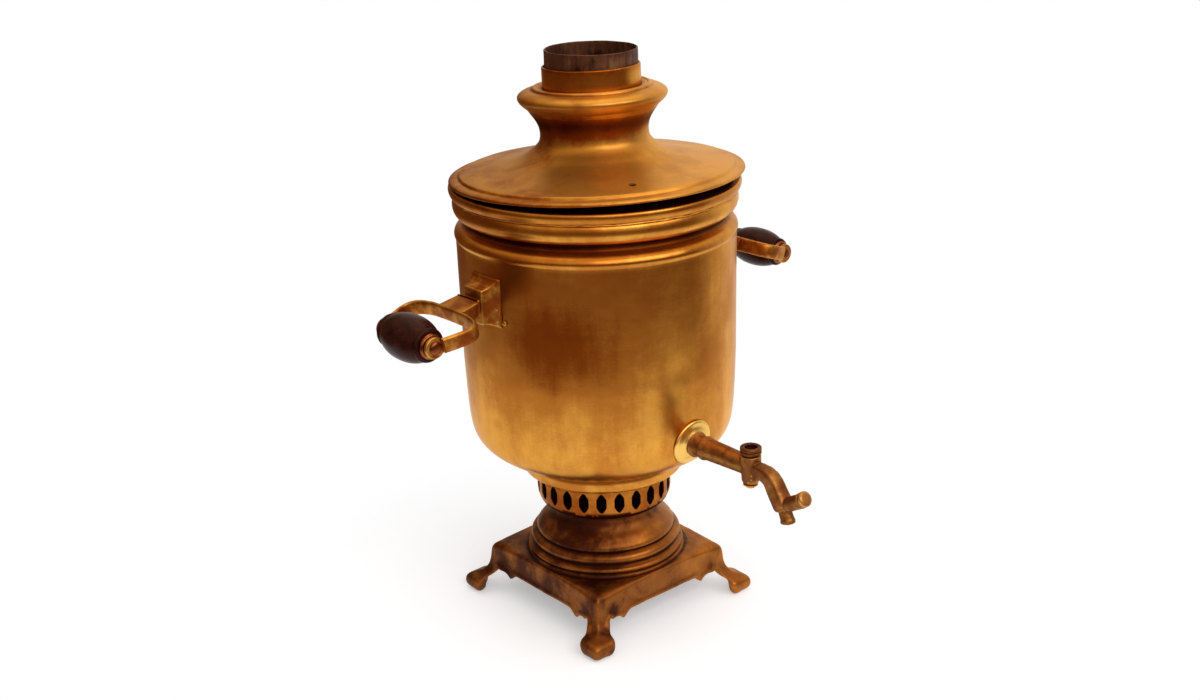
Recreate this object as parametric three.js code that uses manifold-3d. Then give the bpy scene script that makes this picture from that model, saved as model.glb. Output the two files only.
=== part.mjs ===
// A brass samovar for about five litres, heated by charcoal in a fire tube.
// Millimetres, +Z up. The tap points to -Y and the handles to -X and +X.
import * as THREE from 'three';
import { mergeVertices } from 'three/addons/utils/BufferGeometryUtils.js';
import Module from 'manifold-3d';

const wasm = await Module();
wasm.setup();

// Driving dimensions
const bodyRadius = 102;
const bodyWall = 1.2;
const plateHeight = 41;
const plateHalf = 64.3;
const collarHeight = 2.5;
const pedestalHeight = 38.7;
const blowerHeight = 38.9;
const wallHeight = 171;
const throatRise = 17.3;
const bandRise = 15.7;
const ringRise = 8.5;
const flueRise = 92.5;
const flueRadius = 33.2;
const fireboxRadius = 47;
const seatGap = 0.3;
const cutOverrun = 2;

// Heights above the floor, stacked from the plinth up to the flue's mouth
const pedestalBottomHeight = plateHeight + collarHeight + seatGap;
const blowerBottomHeight = pedestalBottomHeight + pedestalHeight + seatGap;
const bodyBottomHeight = blowerBottomHeight + blowerHeight + seatGap;
const shoulderHeight = bodyBottomHeight + wallHeight;
const rimBottomHeight = shoulderHeight + throatRise;
const rimSeamHeight = rimBottomHeight + bandRise;
const rimHeight = rimSeamHeight + ringRise;
const flueTopHeight = rimHeight + flueRise;

// Facets round a turned piece: the body and lid, the neck and pedestal, the small parts, the smallest
const bodyFacets = 36;
const neckFacets = 28;
const smallFacets = 14;
const pinFacets = 10;

// Metals and wood
function metal(color, roughness) {
  return new THREE.MeshStandardMaterial({ color, roughness, metalness: 1 });
}
function wood(color) {
  return new THREE.MeshStandardMaterial({ color, roughness: 0.55, metalness: 0 });
}
const agedBrass = '#a8691c';
const paleBrass = '#b88534';
const brightBrass = '#d3a53a';
const brownBronze = '#6e3a12';
const tapBronze = '#84501f';
const castIron = '#3a302b';
const darkWood = '#2c1411';
const leather = wood('#5a2c1b');

// Turns a geometry into an indexed mesh with shared vertices, no slivers, and faces that point out
function closed(source) {
  const bare = source.clone();
  bare.deleteAttribute('normal');
  bare.deleteAttribute('uv');
  const merged = mergeVertices(bare);
  const index = merged.index.array;
  const corner = [new THREE.Vector3(), new THREE.Vector3(), new THREE.Vector3()];
  const kept = [];
  let volume = 0;
  for (let i = 0; i < index.length; i += 3) {
    const [a, b, c] = [index[i], index[i + 1], index[i + 2]];
    if (a === b || b === c || c === a) continue;
    corner[0].fromBufferAttribute(merged.attributes.position, a);
    corner[1].fromBufferAttribute(merged.attributes.position, b);
    corner[2].fromBufferAttribute(merged.attributes.position, c);
    volume += corner[0].dot(corner[1].cross(corner[2]));
    kept.push(a, b, c);
  }
  if (volume < 0) kept.reverse();
  merged.setIndex(kept);
  return merged;
}

function toSolid(source) {
  const mesh = closed(source);
  const vertProperties = new Float32Array(mesh.attributes.position.array);
  const triVerts = new Uint32Array(mesh.index.array);
  return new wasm.Manifold(new wasm.Mesh({ numProp: 3, vertProperties, triVerts }));
}

function toGeometry(solid) {
  const mesh = solid.getMesh();
  const geometry = new THREE.BufferGeometry();
  geometry.setAttribute('position', new THREE.BufferAttribute(mesh.vertProperties.slice(), 3));
  geometry.setIndex(Array.from(mesh.triVerts));
  return geometry;
}

function cut(base, ...tools) {
  return toGeometry(tools.reduce((solid, tool) => solid.subtract(toSolid(tool)), toSolid(base)));
}

function join(base, ...more) {
  return toGeometry(more.reduce((solid, piece) => solid.add(toSolid(piece)), toSolid(base)));
}

function common(base, other) {
  return toGeometry(toSolid(base).intersect(toSolid(other)));
}

// A body of revolution about Z, from an outline of [radius, height] points that closes on itself
function turned(outline, facets) {
  const points = [...outline, outline[0]].map(([radius, height]) => new THREE.Vector2(radius, height));
  return closed(new THREE.LatheGeometry(points, facets).rotateX(Math.PI / 2));
}

// Points written as shares of a radius and a height, set on a bottom height
function fromShares(shares, radius, bottom, height) {
  return shares.map(([across, up]) => [across * radius, bottom + up * height]);
}

// The outline of sheet metal: the outer line and the same line moved to its left by the wall.
// An end is cut level where the sheet stands steeply there, and upright where it lies flat.
function sheet(outer, wall) {
  const line = outer.map(([radius, height]) => new THREE.Vector2(radius, height));
  const runs = line.slice(1).map((point, i) => point.clone().sub(line[i]).normalize());
  const inner = line.map((point, i) => {
    const before = runs[Math.max(i - 1, 0)];
    const after = runs[Math.min(i, runs.length - 1)];
    const along = before.clone().add(after).normalize();
    const away = new THREE.Vector2(-along.y, along.x);
    if (before === after && Math.abs(along.y) > Math.abs(along.x)) away.set(-Math.sign(along.y), 0);
    else if (before === after) away.set(0, Math.sign(along.x));
    const reach = wall / (away.y * before.x - away.x * before.y);
    return [point.x + away.x * reach, point.y + away.y * reach];
  });
  return [...outer, ...inner.reverse()];
}

// A solid through sections: each outline of [x, y] points lies in the XY plane of its frame
function loft(outlines, frames) {
  const count = outlines[0].length;
  const positions = [];
  outlines.forEach((outline, level) => {
    for (const [x, y] of outline) {
      positions.push(...new THREE.Vector3(x, y, 0).applyMatrix4(frames[level]).toArray());
    }
  });
  const flat = outlines[0].map(([x, y]) => new THREE.Vector2(x, y));
  const caps = THREE.ShapeUtils.triangulateShape(flat, []);
  const last = (outlines.length - 1) * count;
  const index = [];
  const turn = THREE.ShapeUtils.isClockWise(flat) ? -1 : 1;
  for (const [a, b, c] of caps) index.push(a, c, b, last + a, last + b, last + c);
  for (let level = 0; level + 1 < outlines.length; level += 1) {
    for (let k = 0; k < count; k += 1) {
      const a = level * count + k;
      const b = level * count + ((k + 1) % count);
      if (turn > 0) index.push(a, b, b + count, a, b + count, a + count);
      else index.push(a, b + count, b, a, a + count, b + count);
    }
  }
  if (turn < 0) {
    for (let i = 0; i < caps.length * 6; i += 6) {
      const [a, c, b, d, e, f] = index.slice(i, i + 6);
      index.splice(i, 6, a, b, c, d, f, e);
    }
  }
  const geometry = new THREE.BufferGeometry();
  geometry.setAttribute('position', new THREE.Float32BufferAttribute(positions, 3));
  geometry.setIndex(index);
  return closed(geometry);
}

function rectangle(left, right, bottom, top) {
  return [[left, bottom], [right, bottom], [right, top], [left, top]];
}

function square(half) {
  return rectangle(-half, half, -half, half);
}

function atHeight(height) {
  return new THREE.Matrix4().makeTranslation(0, 0, height);
}

const samovar = new THREE.Group();

function addPiece(parent, name, geometry, material) {
  const mesh = new THREE.Mesh(geometry, material);
  mesh.name = name;
  parent.add(mesh);
}

// Base: a square cast plinth with a scalloped skirt, and four legs that sweep out to hoof feet
const plateWall = 2.8;
const plateLedge = 14.3;
const skirtHeight = 19.5;
const cuspDepth = 6;
const cuspWidth = 4;
const archWidth = 16.5;
const archRise = 3.5;
const cornerWidth = 8.3;
const pedestalInset = 4.1;
const collarLip = 1;
const plateHoleRadius = plateHalf - plateLedge;
const skirtEdgeHeight = plateHeight - skirtHeight;
const cuspHeight = skirtEdgeHeight - cuspDepth;
const archHeight = cuspHeight + archRise;
const archReach = plateHalf - cornerWidth;
const cuspReach = archReach - archWidth;
const pedestalRadius = plateHalf - pedestalInset;
const collarRadius = pedestalRadius + collarLip;

function plinthBlock(inset, bottom, top) {
  const halfShares = [[0, 1.02], [0.3, 1.012], [0.66, 1.004], [0.92, 1], [0.98, 0.995], [1, 0.982]];
  const levels = halfShares.map(([up, half]) => [bottom + up * (top - bottom), half * plateHalf - inset]);
  return loft(levels.map(([, half]) => square(half)), levels.map(([height]) => atHeight(height)));
}

// The empty space under the skirt's lower edge, seen square to one side
function skirtGap() {
  const low = cuspHeight - cutOverrun;
  const slope = (archHeight + cuspHeight) / 2;
  const shape = new THREE.Shape();
  shape.moveTo(-archReach, low);
  shape.lineTo(archReach, low);
  shape.lineTo(archReach, cuspHeight);
  shape.quadraticCurveTo(archReach - cuspWidth, archHeight + cuspWidth / 2, cuspReach + cuspWidth, slope);
  shape.lineTo(cuspReach, cuspHeight);
  shape.quadraticCurveTo(cuspReach - cuspWidth / 2, skirtEdgeHeight, cuspReach - cuspWidth, skirtEdgeHeight);
  shape.lineTo(cuspWidth - cuspReach, skirtEdgeHeight);
  shape.quadraticCurveTo(cuspWidth / 2 - cuspReach, skirtEdgeHeight, -cuspReach, cuspHeight);
  shape.lineTo(-cuspReach - cuspWidth, slope);
  shape.quadraticCurveTo(cuspWidth - archReach, archHeight + cuspWidth / 2, -archReach, cuspHeight);
  const depth = 2 * (plateHalf + cuspWidth);
  const gap = new THREE.ExtrudeGeometry(shape, { depth, bevelEnabled: false, curveSegments: 3 });
  return gap.translate(0, 0, -depth / 2).rotateX(Math.PI / 2);
}

// One leg with its foot: an angle section that sweeps out to a hoof, where X and Y are positive.
// Each level holds its height, and the corner, arm and wall of its section, as shares.
function leg() {
  const levelShares = [
    [0.77, 1.006, 0.19, 0.07], [0.66, 1.02, 0.19, 0.072], [0.54, 1.036, 0.19, 0.075],
    [0.44, 1.061, 0.19, 0.075], [0.37, 1.096, 0.185, 0.08], [0.333, 1.135, 0.18, 0.09],
    [0.308, 1.185, 0.19, 0.1], [0.25, 1.213, 0.23, 0.09], [0.14, 1.222, 0.27, 0.09],
    [0.045, 1.215, 0.25, 0.085], [0, 1.19, 0.21, 0.075],
  ];
  const outlines = levelShares.map(([, cornerShare, armShare, wallShare]) => {
    const corner = cornerShare * plateHalf;
    const end = corner - armShare * plateHalf;
    const wall = corner - wallShare * plateHalf;
    return [[corner, corner], [end, corner], [end, wall], [wall, wall], [wall, end], [corner, end]];
  });
  return loft(outlines, levelShares.map(([up]) => atHeight(up * plateHeight)));
}

function basePlinth() {
  const skirtBottom = cuspHeight - cutOverrun / 2;
  const outer = plinthBlock(0, skirtBottom, plateHeight);
  const inner = plinthBlock(plateWall, skirtBottom - cutOverrun, plateHeight - plateWall);
  const hole = turned([
    [0, skirtBottom], [plateHoleRadius, skirtBottom],
    [plateHoleRadius, pedestalBottomHeight], [0, pedestalBottomHeight],
  ], neckFacets);
  const collarShares = [[0.86, -0.4], [1.005, -0.4], [1.005, 0.45], [0.985, 0.85], [0.95, 1], [0.83, 1]];
  const collar = turned([
    ...fromShares(collarShares, collarRadius, plateHeight, collarHeight),
    [plateHoleRadius, plateHeight + collarHeight], [plateHoleRadius, plateHeight - plateWall],
  ], neckFacets);
  const legs = [0, 1, 2, 3].map((quarter) => leg().rotateZ((quarter * Math.PI) / 2));
  const shell = cut(outer, inner, hole, skirtGap(), skirtGap().rotateZ(Math.PI / 2));
  return join(shell, collar, ...legs);
}

addPiece(samovar, 'base_plinth', basePlinth(), metal(brownBronze, 0.5));

// Pedestal: a hollow turned stem on the plinth, up to the blower ring
const pedestalShares = [
  [0.985, 0], [1, 0.05], [0.965, 0.1], [0.925, 0.16], [0.947, 0.185], [0.962, 0.23], [0.94, 0.32],
  [0.9, 0.355], [0.872, 0.375], [0.888, 0.41], [0.87, 0.49], [0.8, 0.6], [0.7, 0.75], [0.66, 0.88],
  [0.655, 1],
];
const pedestalBoreShares = [
  [0.625, 1], [0.635, 0.86], [0.76, 0.58], [0.835, 0.44], [0.835, 0.2], [0.9, 0.12], [0.9, 0],
];
const pedestalOutline = [
  ...fromShares(pedestalShares, pedestalRadius, pedestalBottomHeight, pedestalHeight),
  ...fromShares(pedestalBoreShares, pedestalRadius, pedestalBottomHeight, pedestalHeight),
];
addPiece(samovar, 'pedestal', turned(pedestalOutline, neckFacets), metal(brownBronze, 0.42));

// Ash pan: a dish that hangs by its rim in the plinth's hole, under the grate
const panWall = 1;
const panDepth = 14;
const panClearance = 2;
const panRimRadius = pedestalRadius * 0.9 - seatGap;
const panRadius = plateHoleRadius - panClearance;
const panRimHeight = plateHeight + collarHeight + seatGap;
const panOutline = [
  [0, panRimHeight - panDepth], [panRadius * 0.9, panRimHeight - panDepth],
  [panRadius, panRimHeight - panDepth / 2], [panRadius, panRimHeight],
  [panRimRadius, panRimHeight], [panRimRadius, panRimHeight + panWall],
  [panRadius - panWall, panRimHeight + panWall], [panRadius - panWall, panRimHeight - panDepth / 2],
  [panRadius * 0.9 - panWall, panRimHeight - panDepth + panWall], [0, panRimHeight - panDepth + panWall],
];
addPiece(samovar, 'ash_pan', turned(panOutline, neckFacets), metal(castIron, 0.7));

// Blower ring: lets the draught in through pointed slots, and flares out to the body's bottom
const blowerInset = 8.6;
const blowerFlangeWidth = 10.6;
const blowerWall = 1.6;
const blowerRadius = pedestalRadius - blowerInset;
const blowerLipRadius = pedestalRadius * 0.63;
const blowerFlangeRadius = blowerRadius + blowerFlangeWidth;
const slotCount = 24;
const slotWidth = 7;
const slotLength = 15.2;
const slotRise = 15.4;
const slotPhase = (2 / 180) * Math.PI;

function blowerRing() {
  const lift = (share) => blowerBottomHeight + share * blowerHeight;
  const outer = [
    [blowerLipRadius, lift(0)], [blowerRadius * 0.89, lift(0)], [blowerRadius * 0.955, lift(0.06)],
    [blowerRadius * 0.988, lift(0.16)], [blowerRadius, lift(0.29)], [blowerRadius, lift(0.665)],
    [blowerRadius * 1.03, lift(0.69)], [blowerFlangeRadius * 0.93, lift(0.715)],
    [blowerFlangeRadius * 0.975, lift(0.74)], [blowerFlangeRadius * 0.99, lift(0.8)],
    [blowerFlangeRadius, lift(0.93)], [blowerFlangeRadius * 0.995, lift(1)],
  ];
  const ring = turned(sheet(outer, blowerWall), bodyFacets);
  const outlineShares = [[0, -0.5], [0.46, -0.22], [0.46, 0.22], [0, 0.5], [-0.46, 0.22], [-0.46, -0.22]];
  const outline = outlineShares.map(([x, y]) => new THREE.Vector2(x * slotWidth, y * slotLength));
  const shape = new THREE.Shape(outline);
  const depth = 2 * (blowerWall + cutOverrun);
  const slots = [];
  for (let i = 0; i < slotCount; i += 1) {
    const slot = new THREE.ExtrudeGeometry(shape, { depth, bevelEnabled: false });
    slot.rotateX(Math.PI / 2).rotateZ(Math.PI / 2);
    slot.translate(blowerRadius - depth / 2, 0, blowerBottomHeight + slotRise);
    slots.push(slot.rotateZ(slotPhase + (i * 2 * Math.PI) / slotCount));
  }
  return cut(ring, ...slots);
}

addPiece(samovar, 'blower_ring', blowerRing(), metal(agedBrass, 0.38));

// Tap sizes that the body's wall also needs
const tapRise = 34.6;
const tapHeight = bodyBottomHeight + tapRise;
const shankRadius = 7;
const rosetteRadius = 17.2;

// Body: one sheet shell with a rounded bottom, a straight wall and a shoulder turned in to the throat
const throatInset = 7.2;
const throatRadius = bodyRadius - throatInset;
const bodyTopHeight = rimBottomHeight - seatGap;
const bowlInset = 1;
const bowlStartRadius = blowerFlangeRadius - bowlInset;
const bowlWidth = bodyRadius - bowlStartRadius;
const bowlShares = [
  [0, 0], [0.2625, 0.0215], [0.5575, 0.06], [0.7675, 0.101], [0.892, 0.151], [0.9425, 0.222],
];
const shoulderRise = bodyTopHeight - shoulderHeight;
const bodyOuter = [
  [fireboxRadius + 2 * seatGap, bodyBottomHeight - seatGap / 2],
  ...fromShares(bowlShares, bowlWidth, bodyBottomHeight, wallHeight)
    .map(([across, height]) => [bowlStartRadius + across, height]),
  [bodyRadius * 0.998, bodyBottomHeight + 0.7 * wallHeight],
  [bodyRadius * 1.003, shoulderHeight],
  [bodyRadius * 1.012, shoulderHeight + 0.1 * shoulderRise],
  [bodyRadius * 1.01, shoulderHeight + 0.28 * shoulderRise],
  [bodyRadius * 0.967, shoulderHeight + 0.49 * shoulderRise],
  [throatRadius, shoulderHeight + 0.78 * shoulderRise],
  [throatRadius, bodyTopHeight],
];

// A plain rod along Y, from a nearer reach to a farther one, at the tap's height
function tapRod(nearReach, farReach, nearRadius, farRadius, facets) {
  const rod = turned([[0, nearReach], [nearRadius, nearReach], [farRadius, farReach], [0, farReach]], facets);
  return rod.rotateX(Math.PI / 2).translate(0, 0, tapHeight);
}

const wallHole = tapRod(bodyRadius - rosetteRadius, bodyRadius + rosetteRadius,
  shankRadius + seatGap, shankRadius + seatGap, smallFacets);
const bodyWallSolid = turned(sheet(bodyOuter, bodyWall), bodyFacets);
addPiece(samovar, 'body_shell', cut(bodyWallSolid, wallHole), metal(agedBrass, 0.32));

// Rim: a lower band over the throat and an upper band round the mouth
const rimOverhang = 3.3;
const rimWidth = 4.8;
const rimWall = 1.6;
const rimRadius = bodyRadius + rimOverhang;
const mouthRadius = rimRadius - rimWidth;
const bandOuter = [
  [throatRadius, rimBottomHeight], [throatRadius * 1.03, rimBottomHeight + 0.16 * bandRise],
  [rimRadius * 0.962, rimBottomHeight + 0.34 * bandRise],
  [rimRadius * 0.972, rimBottomHeight + 0.5 * bandRise],
  [rimRadius * 0.98, rimSeamHeight],
];
addPiece(samovar, 'rim_band', turned(sheet(bandOuter, rimWall), bodyFacets), metal(agedBrass, 0.4));
const ringBottomHeight = rimSeamHeight + seatGap;
const ringOutline = [
  [rimRadius * 0.98, ringBottomHeight], [rimRadius * 0.992, rimSeamHeight + 0.25 * ringRise],
  [rimRadius, rimSeamHeight + 0.8 * ringRise], [rimRadius, rimHeight], [mouthRadius, rimHeight],
  [mouthRadius, rimHeight - rimWall], [rimRadius * 0.98 - rimWall, rimSeamHeight + 0.4 * ringRise],
  [rimRadius * 0.98 - rimWall, ringBottomHeight],
];
addPiece(samovar, 'rim_ring', turned(ringOutline, bodyFacets), metal(agedBrass, 0.36));

// Fire tube: a wide firebox at the bottom that narrows to the flue, with a ledge for the grate
const tubeWall = 1.5;
const stubWall = 1;
const tubeDrop = 10;
const fireboxHeight = 53;
const coneHeight = 80;
const stubReach = 31;
const ledgeWidth = 6;
const tubeBottomHeight = bodyBottomHeight - tubeDrop;
const fireboxTopHeight = tubeBottomHeight + fireboxHeight;
const coneTopHeight = fireboxTopHeight + coneHeight;
const tubeTopHeight = flueTopHeight - stubReach;
const tubeRadius = flueRadius - stubWall - seatGap;
const ledgeRadius = fireboxRadius - ledgeWidth;
const tubeOutline = [
  [ledgeRadius, tubeBottomHeight], [fireboxRadius, tubeBottomHeight], [fireboxRadius, fireboxTopHeight],
  [tubeRadius, coneTopHeight], [tubeRadius, tubeTopHeight], [tubeRadius - tubeWall, tubeTopHeight],
  [tubeRadius - tubeWall, coneTopHeight], [fireboxRadius - tubeWall, fireboxTopHeight],
  [fireboxRadius - tubeWall, tubeBottomHeight + tubeWall], [ledgeRadius, tubeBottomHeight + tubeWall],
];
addPiece(samovar, 'fire_tube', turned(tubeOutline, neckFacets), metal(paleBrass, 0.5));

// Grate: a cast disc with parallel slots, laid on the fire tube's ledge
const grateClearance = 0.7;
const grateRadius = fireboxRadius - tubeWall - grateClearance;
const grateThickness = 5;
const grateSlotWidth = 5;
const gratePitch = 11;

function grate() {
  const disc = new THREE.Shape().absarc(0, 0, grateRadius, 0, 2 * Math.PI);
  const rows = Math.floor((ledgeRadius - gratePitch / 2) / gratePitch);
  for (let row = -rows; row <= rows; row += 1) {
    const middle = row * gratePitch;
    const half = Math.sqrt(ledgeRadius ** 2 - (Math.abs(middle) + grateSlotWidth / 2) ** 2) - gratePitch / 2;
    const slot = rectangle(-half, half, middle - grateSlotWidth / 2, middle + grateSlotWidth / 2);
    disc.holes.push(new THREE.Path(slot.map(([x, y]) => new THREE.Vector2(x, y))));
  }
  const depth = grateThickness;
  const plate = new THREE.ExtrudeGeometry(disc, { depth, bevelEnabled: false, curveSegments: neckFacets });
  return closed(plate.translate(0, 0, tubeBottomHeight + tubeWall + seatGap));
}

addPiece(samovar, 'grate', grate(), metal(castIron, 0.8));

// Flue stub: an iron sleeve slipped over the top of the fire tube
const stubOverlap = 18;
const stubOutline = [
  [flueRadius - stubWall, tubeTopHeight - stubOverlap], [flueRadius, tubeTopHeight - stubOverlap],
  [flueRadius, flueTopHeight], [flueRadius - stubWall, flueTopHeight],
];
addPiece(samovar, 'flue_stub', turned(stubOutline, neckFacets), metal(castIron, 0.6));

// Lid: it sits a little askew on the rim. Its heights are counted from its underside.
const lidOverhang = 1.1;
const lidRadius = rimRadius + lidOverhang;
const lidWall = 1.2;
const lidTilt = (1.7 / 180) * Math.PI;
const lidTiltAzimuth = (11 / 180) * Math.PI;
const lidCentringHeight = 68;
const lidSeamRise = 46.7;
const flueClearance = 2;
const neckWidth = 3.7;
const neckFlare = 6.5;
const lidCollarRadius = flueRadius + flueClearance;
const lidNeckRadius = lidCollarRadius + neckWidth;
const lidSeamRadius = lidNeckRadius + neckFlare;
const lidPlateShares = [
  [1, 0], [1.002, 0.022], [0.984, 0.06], [0.934, 0.082], [0.925, 0.112], [0.75, 0.176], [0.565, 0.256],
  [0.455, 0.36], [0.404, 0.43],
];
const lidOuter = [
  ...fromShares(lidPlateShares, lidRadius, 0, lidSeamRise),
  [lidNeckRadius * 1.008, 0.54 * lidSeamRise], [lidNeckRadius, 0.67 * lidSeamRise],
  [lidNeckRadius * 1.02, 0.79 * lidSeamRise], [lidNeckRadius * 1.08, 0.9 * lidSeamRise],
  [lidSeamRadius, lidSeamRise],
];
const steamHoleRadius = 2.6;
const steamHoleReach = lidRadius * 0.78;
const steamHoleAzimuth = (-113.5 / 180) * Math.PI;
const lid = new THREE.Group();
samovar.add(lid);
const lidTiltAxis = new THREE.Vector3(Math.cos(lidTiltAzimuth), Math.sin(lidTiltAzimuth), 0);
lid.quaternion.setFromAxisAngle(lidTiltAxis, -lidTilt);
lid.position.set(0, 0, -lidCentringHeight).applyQuaternion(lid.quaternion);
lid.position.z = rimHeight + seatGap + lidRadius * Math.sin(lidTilt);

function steamHole() {
  const bottom = 0;
  const top = lidSeamRise;
  const hole = turned([[0, bottom], [steamHoleRadius, bottom], [steamHoleRadius, top], [0, top]], pinFacets);
  const x = steamHoleReach * Math.cos(steamHoleAzimuth);
  const y = steamHoleReach * Math.sin(steamHoleAzimuth);
  return hole.translate(x, y, 0);
}

const lidPlateSolid = turned(sheet(lidOuter, lidWall), bodyFacets);
addPiece(lid, 'lid_plate', cut(lidPlateSolid, steamHole()), metal(paleBrass, 0.36));

// Lid neck ring: a hollow bulge soldered on the neck, with a small raised ring round the collar
const bulgeWidth = 8.2;
const bulgeRadius = lidSeamRadius + bulgeWidth;
const bulgeRise = 17.2;
const neckRingBottom = lidSeamRise + seatGap;
const bulgeShares = [
  [0.847, 0], [0.925, 0.21], [0.985, 0.38], [1, 0.56], [0.96, 0.74], [0.87, 0.85], [0.81, 0.87],
  [0.79, 0.97], [0.74, 1],
];
const neckRingOuter = [
  ...fromShares(bulgeShares, bulgeRadius, neckRingBottom, bulgeRise),
  [lidCollarRadius + seatGap, neckRingBottom + 0.97 * bulgeRise],
];
addPiece(lid, 'lid_neck_ring', turned(sheet(neckRingOuter, lidWall), neckFacets), metal(paleBrass, 0.34));

// Lid collar: an upright band round the flue, held by the neck ring
const lidCollarWall = 0.9;
const lidCollarStand = 13.8;
const lidCollarTop = neckRingBottom + bulgeRise + lidCollarStand;
const lidCollarBottom = neckRingBottom + 0.6 * bulgeRise;
const lidCollarOutline = [
  [lidCollarRadius - lidCollarWall, lidCollarBottom], [lidCollarRadius, lidCollarBottom],
  [lidCollarRadius, lidCollarTop], [lidCollarRadius - lidCollarWall, lidCollarTop],
];
addPiece(lid, 'lid_collar', turned(lidCollarOutline, neckFacets), metal(paleBrass, 0.4));

// Lid skirt: a flange that drops into the mouth
const skirtClearance = 2.9;
const skirtDepth = 13;
const skirtWall = 1.2;
const skirtRadius = mouthRadius - skirtClearance;
const skirtTop = 0.082 * lidSeamRise - lidWall - seatGap;
const skirtOutline = [
  [skirtRadius - skirtWall, -skirtDepth], [skirtRadius, -skirtDepth], [skirtRadius, skirtTop],
  [skirtRadius - skirtWall, skirtTop],
];
addPiece(lid, 'lid_skirt', turned(skirtOutline, bodyFacets), metal(paleBrass, 0.45));

// Tap rosette: a dished disc whose back follows the body's wall
const rosetteStand = 3;
const rosetteFront = bodyRadius + rosetteStand;
const rosetteWall = 1.6;
const rosetteDish = 2.2;

function tapRosette() {
  const back = bodyRadius * 0.9;
  const disc = turned([
    [shankRadius + seatGap, back], [rosetteRadius, back], [rosetteRadius, rosetteFront - rosetteWall],
    [rosetteRadius * 0.95, rosetteFront], [rosetteRadius * 0.58, rosetteFront - rosetteDish],
    [shankRadius + seatGap, rosetteFront - rosetteDish],
  ], smallFacets);
  const behind = turned([
    [shankRadius * 1.3, back - cutOverrun], [rosetteRadius - rosetteWall, back - cutOverrun],
    [rosetteRadius - rosetteWall, rosetteFront - rosetteDish - rosetteWall],
    [shankRadius * 1.3, rosetteFront - rosetteDish - rosetteWall],
  ], smallFacets);
  const wallOuter = bodyOuter.map(([radius, height]) => [radius + seatGap, height - seatGap]);
  const body = turned([...wallOuter, [0, bodyTopHeight], [0, bodyBottomHeight - seatGap]], bodyFacets);
  const lay = (piece) => piece.rotateX(Math.PI / 2).translate(0, 0, tapHeight);
  return cut(lay(disc), lay(behind), body);
}

addPiece(samovar, 'tap_rosette', tapRosette(), metal(brightBrass, 0.3));

// Tap body: shank, key housing, bent spout, nozzle and stub in one casting.
// Its outline lies in the YZ plane, in points of [reach, height] from the samovar's axis.
const shankTail = 18;
const shankStand = 11;
const shankInnerReach = bodyRadius - shankTail;
const shankFlangeRadius = 8.8;
const shankFlangeThickness = 1.8;
const shankStepReach = bodyRadius + shankStand;
const shankStepRadius = 8.1;
const shankTipRadius = 6.1;
const waterwayRadius = 3.6;
const housingStand = 54.5;
const housingReach = bodyRadius + housingStand;
const housingRadius = 7.3;
const housingFootRadius = 6.1;
const housingDepth = 12;
const housingRise = 20.9;
const housingBottomHeight = tapHeight - housingDepth;
const housingTopHeight = housingBottomHeight + housingRise;
const spoutWidth = 12;
const spoutDepth = 11.5;
const spoutStartStep = [1.5, -0.1];
const spoutBendStep = [21.5, -3.4];
const spoutJointStep = [30.8, -19.1];
const nozzleRadius = 5;
const nozzleEndStep = [35.8, -30.1];
const stubRadius = 5.4;
const stubEndStep = [48.1, -8.6];
const plugPostRadius = 3;
const plugPostLength = 6;
const keyClearance = 0.3;
const keyTopRadius = 5.4;
const keyBottomRadius = 4;

// A point of the tap's plane, by its step from where the tap's axis meets the key housing's
function fromHousing([outward, upward]) {
  return [housingReach + outward, tapHeight + upward];
}

const spoutStart = fromHousing(spoutStartStep);
const spoutBend = fromHousing(spoutBendStep);
const spoutJoint = fromHousing(spoutJointStep);
const nozzleEnd = fromHousing(nozzleEndStep);
const stubEnd = fromHousing(stubEndStep);

// A frame at a point of the tap's plane, with its Z axis along a direction in that plane
function tapFrame([reach, height], [alongReach, alongHeight]) {
  const along = new THREE.Vector3(0, -alongReach, alongHeight).normalize();
  const across = new THREE.Vector3(1, 0, 0);
  const up = new THREE.Vector3().crossVectors(along, across);
  return new THREE.Matrix4().makeBasis(across, up, along).setPosition(0, -reach, height);
}

// A rounded bar through points of the tap's plane
function tapBar(points, halfWidths, halfDepths, facets) {
  const frames = points.map((point, i) => {
    const before = points[Math.max(i - 1, 0)];
    const after = points[Math.min(i + 1, points.length - 1)];
    return tapFrame(point, [after[0] - before[0], after[1] - before[1]]);
  });
  const outlines = points.map((_, i) => Array.from({ length: facets }, (__, k) => {
    const angle = ((k + 0.5) / facets) * 2 * Math.PI;
    const fit = 1 / Math.cos(Math.PI / facets);
    return [halfWidths[i] * fit * Math.cos(angle), halfDepths[i] * fit * Math.sin(angle)];
  }));
  return loft(outlines, frames);
}

function between([reachA, heightA], [reachB, heightB], share) {
  return [reachA + share * (reachB - reachA), heightA + share * (heightB - heightA)];
}

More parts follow.
